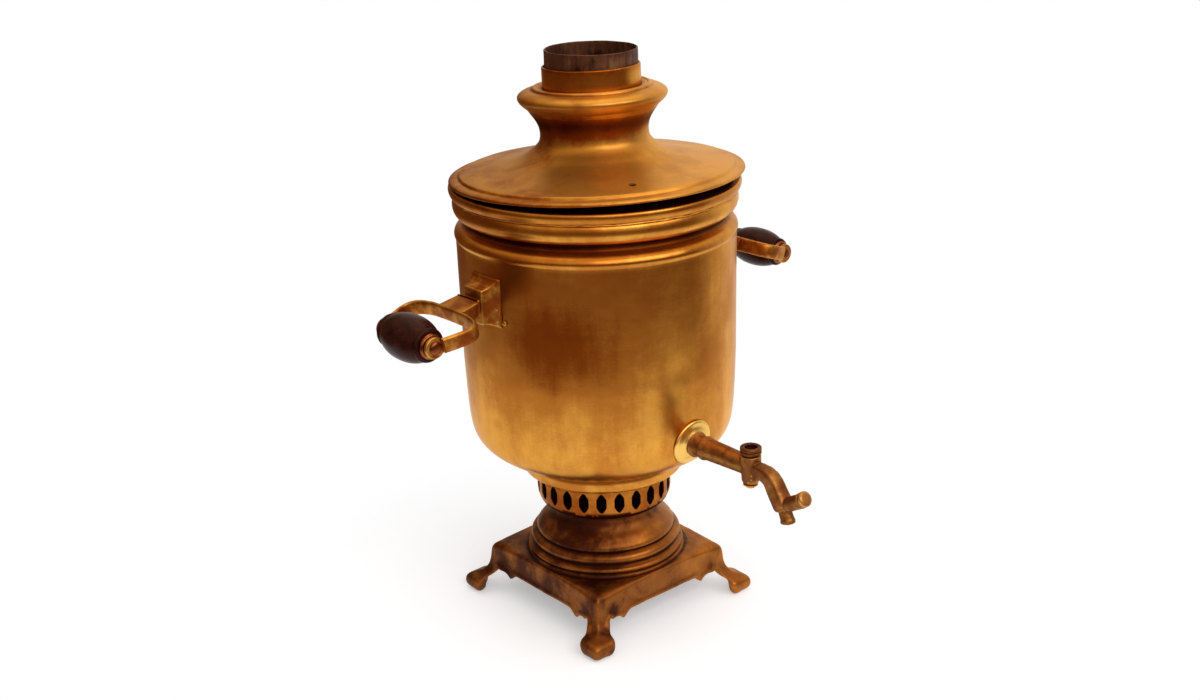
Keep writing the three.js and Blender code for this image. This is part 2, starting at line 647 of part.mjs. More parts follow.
function tapBody() {
  const flangeReach = rosetteFront - rosetteDish + seatGap;
  const root = tapRod(shankInnerReach, shankStepReach, shankRadius, shankRadius, smallFacets);
  const flange = tapRod(flangeReach, flangeReach + shankFlangeThickness, shankFlangeRadius, shankFlangeRadius,
    smallFacets);
  const shank = tapRod(shankStepReach - shankFlangeThickness, housingReach, shankStepRadius, shankTipRadius,
    smallFacets);
  const housing = turned([
    [0, housingBottomHeight], [housingFootRadius * 0.85, housingBottomHeight],
    [housingFootRadius, housingBottomHeight + 0.08 * housingRise],
    [housingRadius * 0.96, housingBottomHeight + 0.6 * housingRise],
    [housingRadius, housingBottomHeight + 0.8 * housingRise], [housingRadius, housingTopHeight],
    [0, housingTopHeight],
  ], smallFacets).translate(0, -housingReach, 0);
  const half = spoutWidth / 2;
  const deep = spoutDepth / 2;
  const spout = tapBar(
    [spoutStart, between(spoutStart, spoutBend, 0.86), between(spoutBend, spoutJoint, 0.12), spoutJoint,
      between(spoutJoint, nozzleEnd, 0.25)],
    [half * 0.86, half * 0.96, half, half * 1.05, half * 0.96],
    [deep * 0.9, deep, deep * 1.05, deep * 1.08, deep * 0.9],
    8,
  );
  const nozzle = tapBar([spoutJoint, nozzleEnd], [nozzleRadius, nozzleRadius], [nozzleRadius, nozzleRadius],
    pinFacets);
  const stub = tapBar([spoutJoint, stubEnd], [stubRadius, stubRadius], [stubRadius, stubRadius], pinFacets);
  const inletWay = tapRod(shankInnerReach - cutOverrun, housingReach, waterwayRadius, waterwayRadius,
    pinFacets);
  const pastEnd = between(spoutJoint, nozzleEnd, 1.2);
  const narrow = [waterwayRadius, waterwayRadius, waterwayRadius, waterwayRadius];
  const outletWay = tapBar([[housingReach, spoutStart[1]], spoutBend, spoutJoint, pastEnd], narrow, narrow,
    pinFacets);
  const postRoom = [plugPostRadius + seatGap, plugPostRadius + seatGap];
  const postHole = tapBar([between(stubEnd, spoutJoint, 0.55), between(stubEnd, spoutJoint, -0.2)],
    postRoom, postRoom, pinFacets);
  const keyHole = turned([
    [0, housingBottomHeight - cutOverrun], [keyBottomRadius + keyClearance, housingBottomHeight - cutOverrun],
    [keyBottomRadius + keyClearance, housingBottomHeight],
    [keyTopRadius + keyClearance, housingTopHeight],
    [keyTopRadius + keyClearance, housingTopHeight + cutOverrun], [0, housingTopHeight + cutOverrun],
  ], smallFacets).translate(0, -housingReach, 0);
  return cut(join(root, flange, shank, housing, spout, nozzle, stub), keyHole, inletWay, outletWay, postHole);
}

addPiece(samovar, 'tap_body', tapBody(), metal(tapBronze, 0.42));

// Spout plug: a small cap screwed into the stub's open end
const plugThickness = 3.4;

function spoutPlug() {
  const run = Math.hypot(stubEnd[0] - spoutJoint[0], stubEnd[1] - spoutJoint[1]);
  const at = (distance) => between(stubEnd, spoutJoint, -distance / run);
  const head = tapBar([at(seatGap), at(plugThickness * 0.7), at(plugThickness)],
    [stubRadius, stubRadius, stubRadius * 0.8], [stubRadius, stubRadius, stubRadius * 0.8], pinFacets);
  const post = tapBar([at(-plugPostLength), at(plugThickness / 2)], [plugPostRadius, plugPostRadius],
    [plugPostRadius, plugPostRadius], pinFacets);
  return join(head, post);
}

addPiece(samovar, 'spout_plug', spoutPlug(), metal(tapBronze, 0.38));

// Tap gasket and nut: they clamp the shank from inside, and the gasket is pressed to the wall's curve
const gasketRadius = 11;
const gasketThickness = 2.6;
const nutAcross = 20;
const nutThickness = 6;
const gasketReach = bodyRadius * 0.945 - bodyWall;

// A disc or nut round the shank, from a nearer reach to a farther one
function shankRing(nearReach, farReach, radius, facets) {
  const bore = shankRadius + seatGap;
  const hole = tapRod(nearReach - cutOverrun, farReach + cutOverrun, bore, bore, smallFacets);
  return cut(tapRod(nearReach, farReach, radius, radius, facets), hole);
}

function tapGasket() {
  const inside = sheet(bodyOuter, bodyWall + seatGap).slice(bodyOuter.length);
  const room = turned([...inside, [0, bodyBottomHeight], [0, bodyTopHeight]], bodyFacets);
  return common(shankRing(gasketReach - gasketThickness, bodyRadius, gasketRadius, smallFacets), room);
}

const nutFace = gasketReach - gasketThickness - seatGap;
addPiece(samovar, 'tap_gasket', tapGasket(), leather);
const nutSolid = shankRing(nutFace - nutThickness, nutFace, nutAcross / Math.sqrt(3), 6);
addPiece(samovar, 'tap_nut', nutSolid, metal(paleBrass, 0.4));

// Tap key: a tapered plug with a cross port, closed at rest. Its head has an empty socket for a lost lever.
const keyHeadRadius = 7.5;
const keyHeadStand = 6.1;
const keyHeadHeight = housingTopHeight + keyHeadStand;
const keySocketRadius = 4.4;
const keySocketDepth = 3.2;
const keyPortRadius = 3.2;
const keyTailRadius = 2;
const washerThickness = 1;
const washerRadius = 5.2;
const screwHeadRadius = 3.6;
const screwHeadThickness = 1.6;
const screwPostLength = 3;
const tailLength = 0.3;
const key = new THREE.Group();
key.position.y = -housingReach;
samovar.add(key);

function tapKey() {
  const headBottom = housingTopHeight + seatGap;
  const headRise = keyHeadHeight - headBottom;
  const tailBottom = housingBottomHeight - tailLength;
  const tailHoleTop = tailBottom + screwPostLength + seatGap;
  const plug = turned([
    [0, tailHoleTop], [keyTailRadius + seatGap, tailHoleTop], [keyTailRadius + seatGap, tailBottom],
    [keyBottomRadius, tailBottom], [keyBottomRadius, housingBottomHeight], [keyTopRadius, housingTopHeight],
    [keyTopRadius, headBottom], [keyHeadRadius * 0.9, headBottom],
    [keyHeadRadius * 0.9, headBottom + 0.16 * headRise],
    [keyHeadRadius, headBottom + 0.24 * headRise], [keyHeadRadius, headBottom + 0.9 * headRise],
    [keyHeadRadius * 0.93, keyHeadHeight], [keySocketRadius, keyHeadHeight],
    [keySocketRadius, keyHeadHeight - keySocketDepth], [0, keyHeadHeight - keySocketDepth],
  ], smallFacets);
  const reach = keyHeadRadius + cutOverrun;
  const port = turned([[0, -reach], [keyPortRadius, -reach], [keyPortRadius, reach], [0, reach]], pinFacets);
  return cut(plug, port.rotateY(Math.PI / 2).translate(0, 0, spoutStart[1]));
}

const washerTopHeight = housingBottomHeight - tailLength - seatGap;
const washerOutline = [
  [keyTailRadius + seatGap, washerTopHeight - washerThickness],
  [washerRadius, washerTopHeight - washerThickness],
  [washerRadius, washerTopHeight], [keyTailRadius + seatGap, washerTopHeight],
];
const screwTopHeight = washerTopHeight - washerThickness - seatGap;
const screwOutline = [
  [0, screwTopHeight - screwHeadThickness], [screwHeadRadius * 0.8, screwTopHeight - screwHeadThickness],
  [screwHeadRadius, screwTopHeight - screwHeadThickness * 0.6], [screwHeadRadius, screwTopHeight],
  [keyTailRadius, screwTopHeight], [keyTailRadius, housingBottomHeight - tailLength + screwPostLength],
  [0, housingBottomHeight - tailLength + screwPostLength],
];
addPiece(key, 'tap_key', tapKey(), metal(tapBronze, 0.4));
addPiece(key, 'tap_key_washer', turned(washerOutline, smallFacets), metal(paleBrass, 0.45));
addPiece(key, 'tap_key_screw', turned(screwOutline, pinFacets), metal(paleBrass, 0.45));

// Handles: drawn on the +X side, and turned half round for the other one
const bracketHalfWidth = 15.5;
const bracketDrop = 10;
const bracketHeight = 35;
const bracketStand = 6.5;
const bracketFrontHalfWidth = 8.5;
const bracketFrontInset = 6;
const bracketFrontHeight = 20;
const stemStand = 15.6;
const bracketTopHeight = shoulderHeight - bracketDrop;
const bracketBottomHeight = bracketTopHeight - bracketHeight;
const bracketFrontReach = bodyRadius + bracketStand;
const bracketFrontBottomHeight = bracketBottomHeight + bracketFrontInset;
const bracketFrontTopHeight = bracketFrontBottomHeight + bracketFrontHeight;
const stemReach = bodyRadius + stemStand;
// Grip places are counted out from the body's wall, and down from its shoulder
const handleShapes = {
  left: { half: Math.PI, gripStand: 65, gripDrop: 39, gripRadius: 16.5, slope: (12 / 180) * Math.PI },
  right: { half: 0, gripStand: 68.5, gripDrop: 46.6, gripRadius: 15.2, slope: (19 / 180) * Math.PI },
};
const loopBack = 36.9;
const loopBulge = 8.6;
const stripThickness = 3;
const stripHeight = 11;
const armHalfWidth = 12.5;
const armHeight = 12;
const gripHalfLength = 23.6;
const gripRoomRadius = 17.5;
const ferruleLength = 3;
const ferruleRadius = 9;
const eyeRadius = 7.8;
const eyeThickness = 3;
const rodRadius = 2.8;
const rodHeadRadius = 4.6;
const rodHeadThickness = 1.6;
const rivetRadius = 2;
const rivetHeight = 1.2;
const eyeInner = gripHalfLength + ferruleLength + 2 * seatGap;
const eyeOuter = eyeInner + eyeThickness;
const loopHalfWidth = eyeOuter + loopBulge;

// A flared block soldered to the wall, with a stem that carries the loop's arm
function handleBracket() {
  const sideways = (reach) => new THREE.Matrix4().makeBasis(
    new THREE.Vector3(0, 1, 0), new THREE.Vector3(0, 0, 1), new THREE.Vector3(1, 0, 0),
  ).setPosition(reach, 0, 0);
  const half = bracketFrontHalfWidth;
  const foot = rectangle(-bracketHalfWidth, bracketHalfWidth, bracketBottomHeight, bracketTopHeight);
  const block = loft([
    foot,
    foot,
    rectangle(-half, half, bracketFrontBottomHeight, bracketFrontTopHeight),
  ], [
    sideways(bodyRadius - bracketHalfWidth),
    sideways(bodyRadius + rivetHeight / 2),
    sideways(bracketFrontReach),
  ]);
  const stem = loft([
    rectangle(-half, half, bracketFrontBottomHeight + half / 2, bracketFrontTopHeight - half / 2),
    rectangle(-half, half, bracketFrontBottomHeight + half / 2, bracketFrontTopHeight - half / 2),
  ], [sideways(bodyRadius + cutOverrun), sideways(stemReach)]);
  const clear = bodyOuter.map(([radius, height]) => [radius + seatGap, height]);
  const body = turned([...clear, [0, bodyTopHeight], [0, bodyBottomHeight]], bodyFacets);
  return cut(join(block, stem), body);
}

// The outer line of the loop's strip in its own plane: X runs from the grip's axis back to the arm
function loopLine(inset) {
  const eyeShare = eyeOuter / loopHalfWidth;
  const sideShares = [
    [0, eyeShare], [0.16, 0.87], [0.36, 0.94], [0.6, 1], [0.8, 0.96], [0.93, 0.8], [1, 0.52],
  ];
  const side = sideShares.map(([back, out]) => new THREE.Vector2(back * loopBack, out * loopHalfWidth));
  const line = new THREE.SplineCurve(side).getPoints(10);
  return line.map((point, i) => {
    const before = line[Math.max(i - 1, 0)];
    const after = line[Math.min(i + 1, line.length - 1)];
    const along = after.clone().sub(before).normalize();
    return new THREE.Vector2(point.x + inset * along.y, point.y - inset * along.x);
  });
}

function handleLoop(gripReach, slope) {
  const mirrored = (points) => points.map((point) => new THREE.Vector2(point.x, -point.y)).reverse();
  const outer = loopLine(0);
  const inner = loopLine(stripThickness);
  const shape = new THREE.Shape([...outer, ...mirrored(outer), ...inner.map((p) => p.clone().setY(-p.y)),
    ...inner.slice().reverse()]);
  const strip = new THREE.ExtrudeGeometry(shape, { depth: stripHeight, bevelEnabled: false });
  strip.translate(0, 0, -stripHeight / 2);
  const armEnd = (gripReach - stemReach + armHeight / 2) / Math.cos(slope);
  const plan = [
    [loopBack - stripThickness / 2, -armHalfWidth * 1.1], [armEnd, -armHalfWidth * 0.96],
    [armEnd, armHalfWidth * 0.96], [loopBack - stripThickness / 2, armHalfWidth * 1.1],
  ];
  const arm = loft([plan, plan], [atHeight(-armHeight / 2), atHeight(armHeight / 2)]);
  const eye = (side) => {
    const middle = side * (eyeInner + eyeThickness / 2);
    const half = eyeThickness / 2;
    const disc = turned([[0, -half], [eyeRadius, -half], [eyeRadius, half], [0, half]], smallFacets);
    return disc.rotateX(Math.PI / 2).translate(0, middle, 0);
  };
  const bore = turned([
    [0, -loopHalfWidth], [rodRadius + seatGap, -loopHalfWidth],
    [rodRadius + seatGap, loopHalfWidth], [0, loopHalfWidth],
  ], pinFacets).rotateX(Math.PI / 2);
  const room = turned([
    [0, -eyeInner], [gripRoomRadius, -eyeInner], [gripRoomRadius, eyeInner], [0, eyeInner],
  ], smallFacets).rotateX(Math.PI / 2);
  const clear = rodHeadRadius + 2 * seatGap;
  const face = rectangle(-clear, clear, -eyeRadius, eyeRadius);
  const outside = (side) => {
    const start = side * eyeOuter;
    const end = side * (loopHalfWidth + cutOverrun);
    const facing = new THREE.Matrix4().makeRotationX(Math.PI / 2);
    const frame = (y) => new THREE.Matrix4().makeTranslation(0, y, 0).multiply(facing);
    return loft([face, face], [frame(start), frame(end)]);
  };
  const joined = join(strip, arm, eye(-1), eye(1));
  const loop = cut(joined, bore, room, outside(-1), outside(1)).rotateY(-slope).scale(-1, 1, 1);
  const stemEnd = stemReach - gripReach + seatGap;
  const stem = rectangle(stemEnd - 2 * armHeight, stemEnd, -loopHalfWidth, loopHalfWidth);
  return cut(closed(loop), loft([stem, stem], [atHeight(-loopBack), atHeight(loopBack)]));
}

function handleGrip(gripRadius) {
  const barrelShares = [
    [0.62, 1], [0.7, 0.96], [0.72, 0.88], [0.68, 0.83], [0.84, 0.66], [0.96, 0.36], [1, 0],
  ];
  const upper = barrelShares.map(([across, along]) => [across * gripRadius, along * gripHalfLength]);
  const lower = upper.slice(0, -1).map(([radius, along]) => [radius, -along]);
  const bore = rodRadius + seatGap;
  const outline = [[bore, gripHalfLength], ...upper, ...lower.reverse(), [bore, -gripHalfLength]];
  return turned(outline, smallFacets).rotateX(Math.PI / 2);
}

// A ferrule on the grip's end: side is -1 or 1 along Y
function handleFerrule(side) {
  const start = gripHalfLength + seatGap;
  const end = start + ferruleLength - seatGap;
  const bore = rodRadius + seatGap;
  const cap = turned([
    [bore, start], [ferruleRadius, start], [ferruleRadius, start + 0.6 * ferruleLength],
    [ferruleRadius * 0.86, end], [bore, end],
  ], smallFacets).rotateX(-Math.PI / 2);
  return side > 0 ? cap : cap.rotateZ(Math.PI);
}

function handleRod() {
  const headStart = eyeOuter + seatGap;
  const headEnd = headStart + rodHeadThickness;
  const end = [
    [rodRadius, headStart], [rodHeadRadius, headStart], [rodHeadRadius * 0.75, headEnd], [0, headEnd],
  ];
  const mirrored = end.map(([radius, along]) => [radius, -along]).reverse();
  return turned([...mirrored, ...end], pinFacets).rotateX(Math.PI / 2);
}

// A rivet head at a lower corner of the bracket, on the wall
function bracketRivet(side) {
  const azimuth = side * Math.asin((bracketHalfWidth + rivetRadius + 2 * seatGap) / bodyRadius);
  const start = bodyRadius + 2 * seatGap;
  const end = start + rivetHeight;
  const head = turned([[0, start], [rivetRadius, start], [rivetRadius * 0.6, end], [0, end]], pinFacets);
  const lift = bracketBottomHeight + 2 * rivetRadius;
  return head.rotateY(Math.PI / 2).translate(0, 0, lift).rotateZ(azimuth);
}

for (const [sideName, shape] of Object.entries(handleShapes)) {
  const { half, gripStand, gripDrop, gripRadius, slope } = shape;
  const gripReach = bodyRadius + gripStand;
  const handle = new THREE.Group();
  handle.rotation.z = half;
  samovar.add(handle);
  addPiece(handle, `${sideName}_handle_bracket`, handleBracket(), metal(agedBrass, 0.4));
  const grip = new THREE.Group();
  grip.position.set(gripReach, 0, shoulderHeight - gripDrop);
  handle.add(grip);
  addPiece(grip, `${sideName}_handle_loop`, handleLoop(gripReach, slope), metal(agedBrass, 0.38));
  addPiece(grip, `${sideName}_grip_rod`, handleRod(), metal(tapBronze, 0.4));
  addPiece(grip, `${sideName}_grip`, handleGrip(gripRadius), wood(darkWood));
  const frontSide = half ? 1 : -1;
  for (const [endName, side] of [['front', frontSide], ['back', -frontSide]]) {
    addPiece(grip, `${sideName}_ferrule_${endName}`, handleFerrule(side), metal(tapBronze, 0.3));
    addPiece(handle, `${sideName}_rivet_${endName}`, bracketRivet(side), metal(paleBrass, 0.4));
  }
}

// The origin is at the middle of the floor that the samovar covers
const reach = new THREE.Box3().setFromObject(samovar);
samovar.position.y = -(reach.min.y + reach.max.y) / 2;
samovar.updateMatrixWorld(true);

export default samovar;
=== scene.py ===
"""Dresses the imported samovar: every turned, cast and wooden piece, as worn and patinated as the real one."""

import math

import bmesh
import bpy
from mathutils import Matrix, Vector, noise


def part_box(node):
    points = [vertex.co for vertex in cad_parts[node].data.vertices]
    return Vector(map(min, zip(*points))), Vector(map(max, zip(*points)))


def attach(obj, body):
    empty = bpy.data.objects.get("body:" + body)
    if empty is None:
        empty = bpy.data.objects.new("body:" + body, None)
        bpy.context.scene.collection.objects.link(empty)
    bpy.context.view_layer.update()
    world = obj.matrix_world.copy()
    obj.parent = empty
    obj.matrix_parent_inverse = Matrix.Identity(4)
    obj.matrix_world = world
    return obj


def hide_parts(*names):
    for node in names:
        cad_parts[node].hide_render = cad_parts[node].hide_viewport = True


bl_info = {
    "name": "Charcoal Samovar",
    "version": (1, 0, 0),
    "blender": (4, 5, 0),
    "location": "View3D > Sidebar > Samovar",
    "description": "Turns, casts and finishes the pieces of a brass samovar on its packed frame",
    "category": "Add Mesh",
}

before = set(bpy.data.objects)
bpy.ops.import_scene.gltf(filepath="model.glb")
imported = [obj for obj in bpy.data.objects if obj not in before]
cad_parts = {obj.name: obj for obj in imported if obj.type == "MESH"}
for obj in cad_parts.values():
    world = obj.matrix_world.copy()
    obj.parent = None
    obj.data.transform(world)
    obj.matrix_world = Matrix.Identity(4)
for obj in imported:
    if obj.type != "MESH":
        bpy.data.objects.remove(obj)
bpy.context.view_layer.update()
MM = 0.001
FULL_TURN = 2 * math.pi
WHITE = (1, 1, 1, 1)

# The samovar's own axis stands off the frame's origin along Y. The pieces are drawn in millimetres round it.
RING_LOW, RING_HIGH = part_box("rim_ring")
AXIS_Y = (RING_LOW.y + RING_HIGH.y) / 2
ROOT = Matrix.Translation((0, AXIS_Y, 0)) @ Matrix.Scale(MM, 4)

# Sizes in millimetres that more than one piece needs
BODY_RADIUS = 102.0
PLATE_HALF = 64.3
PLATE_HEIGHT = 41.0
TAP_HEIGHT = 156.6
HOUSING_REACH = 156.5
LID_WALL = 1.2
GRIP_HALF_LENGTH = 23.6
FERRULE_LENGTH = 3.0
EYE_INNER = 27.2
EYE_THICKNESS = 3.0
ROD_RADIUS = 2.8
BRACKET_BOTTOM = 248.0
BRACKET_HALF_WIDTH = 15.5

# The bowl, the wall and the shoulder of the body, as the outer line of the sheet
BOWL = [(61.5, 121.9), (72.4, 125.9), (83.9, 132.3), (92.5, 139.3), (97.5, 147.8), (99.8, 160), (101, 180),
        (101.8, 205)]
WALL = [(102, 241.7), (102.3, 295.4)]
SHOULDER = [(102.4, 296), (102.8, 296.7), (103.3, 298.1), (103.2, 299.9), (102.2, 302), (100.3, 303.8),
            (97.8, 305.2), (96, 306.7), (94.9, 308.8), (94.8, 310.5)]

# Lid: it sits askew, so its pieces are drawn upright and then tilted
LID_TILT = math.radians(1.7)
LID_TILT_AZIMUTH = math.radians(11)
LID_RADIUS = 106.4
LID_CENTRING = 68.0
LID_SEAM_RADIUS = 45.4
LID_SEAM_RISE = 46.7
RIM_TOP = 334.5
SEAT_GAP = 0.3

# Features of the metals' patina, in millimetres, and how far drips are drawn out
SPECK_SIZE = 1.6
DRIP_SIZE = 10.0
DRIP_STRETCH = 0.07
TURNING_MARK_SIZE = 0.9
SWELL_SIZE = 26.0
# How far round the painted light reaches from the lit side to the shaded side
LIT_SIDE_REACH = 90.0

# The floor's rings, in metres
FLOOR_FACETS = 96
FLOOR_RADII = (0.2, 0.5, 1.2, 3, 12)

HANDLES = {
    "left": {"half": math.pi, "reach": 167.0, "height": 254.0, "radius": 16.5, "slope": math.radians(12)},
    "right": {"half": 0.0, "reach": 170.5, "height": 246.4, "radius": 15.2, "slope": math.radians(19)},
}


def linear(code):
    """A hex colour as it is seen, turned to the linear values that shaders take."""
    values = [int(code[i:i + 2], 16) / 255 for i in (0, 2, 4)]
    return tuple(v / 12.92 if v <= 0.04045 else ((v + 0.055) / 1.055) ** 2.4 for v in values)


def whole(label, about, default, low, high):
    """A whole-number setting for the sidebar."""
    return bpy.props.IntProperty(name=label, description=about, default=default, min=low, max=high)


def number(label, about, default, low, high, **more):
    """A decimal setting for the sidebar."""
    return bpy.props.FloatProperty(name=label, description=about, default=default, min=low, max=high, **more)


def colour(code, label, about):
    """A colour setting for the sidebar, from its hex value."""
    return bpy.props.FloatVectorProperty(name=label, description=about, default=linear(code), size=3,
                                         subtype="COLOR", min=0, max=1)


class SamovarShape(bpy.types.PropertyGroup):
    """Sizes that change how finely and how evenly the pieces are made"""
    facets: whole("Facets", "Facets round a large turned piece", 192, 48, 384)
    small_facets: whole("Small facets", "Facets round a small turned piece", 64, 24, 128)
    slots: whole("Draught slots", "Pointed slots round the blower ring", 24, 12, 36)
    slot_width: number("Slot width", "Widest part of a draught slot, in millimetres", 7.7, 2, 9)
    unevenness: number("Unevenness", "Swells of the old sheet metal, in millimetres", 0.16, 0, 1)
    dents: number("Dents", "Depth of the small dents in the body, in millimetres", 0.7, 0, 2)
    solder_wave: number("Solder wave", "How far the rim's solder line wanders, in millimetres", 0.85, 0, 2)
    crimps: whole("Crimps", "Crimped flutes round the flue's mouth", 30, 0, 60)
    cast_voxel: number("Casting detail", "Cell size of the cast pieces, in millimetres", 0.4, 0.2, 1)


class SamovarFinish(bpy.types.PropertyGroup):
    """Colours of the metals, the wood and the leather"""
    brass: colour("dc9c40", "Rubbed brass", "Brass where hands and cloths keep it clean")
    honey: colour("b8722a", "Honey brass", "Brass under a thin even patina")
    umber: colour("8c4410", "Umber patina", "Brass under an old brown patina")
    burnt: colour("541605", "Burnt patina", "Patina that heat and hard water have darkened")
    bright: colour("f0c468", "Bright brass", "Newer brass of the tap's rosette")
    tan: colour("c08436", "Tan brass", "Dry, pinkish brass of the lid")
    bronze: colour("8e5220", "Cast bronze", "Bronze of the base under its patina")
    bronze_dark: colour("431606", "Dark bronze", "The base's bronze in its hollows")
    iron: colour("643e2a", "Sooty iron", "Iron of the flue")
    # This colour is also painted into the deepest recesses and under overhangs as painted shade
    soot_and_shade: colour("2a0c05", "Soot", "Soot and grime in hollows")
    wood: colour("2a0d0a", "Dark wood", "Stained and polished wood of the grips")
    leather: colour("5a2c1b", "Red leather", "Leather gasket behind the tap")


class SamovarStage(bpy.types.PropertyGroup):
    """Camera, studio light and the room that the metal mirrors"""
    lens: number("Lens", "Focal length that gives the view", 0.04494, 0.01, 0.2, unit="CAMERA")
    roll: number("Roll", "Lean of the camera about its line of sight", math.radians(-1.8), -math.pi, math.pi,
                 subtype="ANGLE")
    key: number("Key light", "Power of the wide soft lamp in front", 15.0, 0, 200, unit="POWER")
    overhead: number("Overhead light", "Power of the soft lamp above", 5.0, 0, 200, unit="POWER")
    gloom: colour("734e30", "Dim room", "What the metal mirrors where no white backdrop stands")
    ceiling: colour("f6dcae", "Ceiling", "What the metal mirrors overhead")
    sky: number("Room light", "Strength of the room's even light", 0.62, 0, 2)


# Nodes

def feed(tree, node, inputs):
    """Gives each input of a node its plain value, or the socket that it is linked from."""
    for key, value in inputs.items():
        if isinstance(value, bpy.types.NodeSocket):
            tree.links.new(value, node.inputs[key])
        else:
            node.inputs[key].default_value = value


def add_node(tree, kind, inputs=None, **settings):
    """Adds one node with its settings and inputs."""
    made = tree.nodes.new(kind)
    for name, value in settings.items():
        setattr(made, name, value)
    feed(tree, made, inputs or {})
    return made


def reckon(tree, operation, *terms, **settings):
    """The result of a math node. Its terms are plain values or sockets."""
    made = add_node(tree, "ShaderNodeMath", dict(enumerate(terms)), operation=operation, **settings)
    return made.outputs[0]


def tally(tree, operation, *terms):
    """The result of an integer math node."""
    return add_node(tree, "FunctionNodeIntegerMath", dict(enumerate(terms)), operation=operation).outputs[0]


def steer(tree, operation, *terms):
    """The result of a vector math node, which is a plain value for a length, a distance or a dot product."""
    made = add_node(tree, "ShaderNodeVectorMath", dict(enumerate(terms)), operation=operation)
    return made.outputs["Value" if operation in ("LENGTH", "DISTANCE", "DOT_PRODUCT") else "Vector"]


def mottle(tree, place, size, detail, roughness=0.5, distortion=0.0):
    """A noise pattern whose features have a size in millimetres."""
    return add_node(tree, "ShaderNodeTexNoise", {"Vector": place, "Scale": 1 / (size * MM), "Detail": detail,
                                                 "Roughness": roughness, "Distortion": distortion}).outputs[0]


def ranged(tree, value, start, end, low=0.0, high=1.0, easing="LINEAR"):
    """A value carried over from the range start to end into the range low to high."""
    ends = {"Value": value, "From Min": start, "From Max": end, "To Min": low, "To Max": high}
    return add_node(tree, "ShaderNodeMapRange", ends, interpolation_type=easing).outputs["Result"]


def eased(tree, value, start, end, low=0.0, high=1.0):
    """A value carried over to another range, with soft turns at both ends."""
    return ranged(tree, value, start, end, low, high, "SMOOTHSTEP")


def blend(tree, share, first, second):
    """Two colours mixed by a share of the second."""
    return add_node(tree, "ShaderNodeMix", {0: share, 6: first, 7: second}, data_type="RGBA").outputs[2]


def graded(tree, value, stops):
    """The colour that a value has on a ramp of (place, linear colour) stops."""
    ramp = add_node(tree, "ShaderNodeValToRGB", {"Fac": value})
    ramp.color_ramp.interpolation = "EASE"
    marks = ramp.color_ramp.elements
    while len(marks) < len(stops):
        marks.new(0.5)
    for mark, (place, tint) in zip(marks, stops):
        mark.position = place
        mark.color = (*tint, 1)
    return ramp.outputs["Color"]


def raised(tree, height, depth, strength=1.0):
    """The normal of a surface with bumps of a depth in millimetres."""
    return add_node(tree, "ShaderNodeBump", {"Height": height, "Distance": depth * MM,
                                             "Strength": strength}).outputs["Normal"]


def empty_tree(owner):
    """The cleared node tree of a material or a world."""
    owner.use_nodes = True
    owner.node_tree.nodes.clear()
    return owner.node_tree


def from_axis(tree):
    """The place in the scene, measured from the foot of the samovar's axis."""
    place = add_node(tree, "ShaderNodeTexCoord").outputs["Object"]
    return add_node(tree, "ShaderNodeMapping", {"Vector": place,
                                                "Location": (0, -AXIS_Y, 0)}).outputs["Vector"]


# Materials

def start_material(name):
    """A new material with its node tree and surface shader."""
    made = bpy.data.materials.new(name)
    tree = empty_tree(made)
    shader = add_node(tree, "ShaderNodeBsdfPrincipled")
    add_node(tree, "ShaderNodeOutputMaterial", {"Surface": shader.outputs["BSDF"]})
    return made, tree, shader


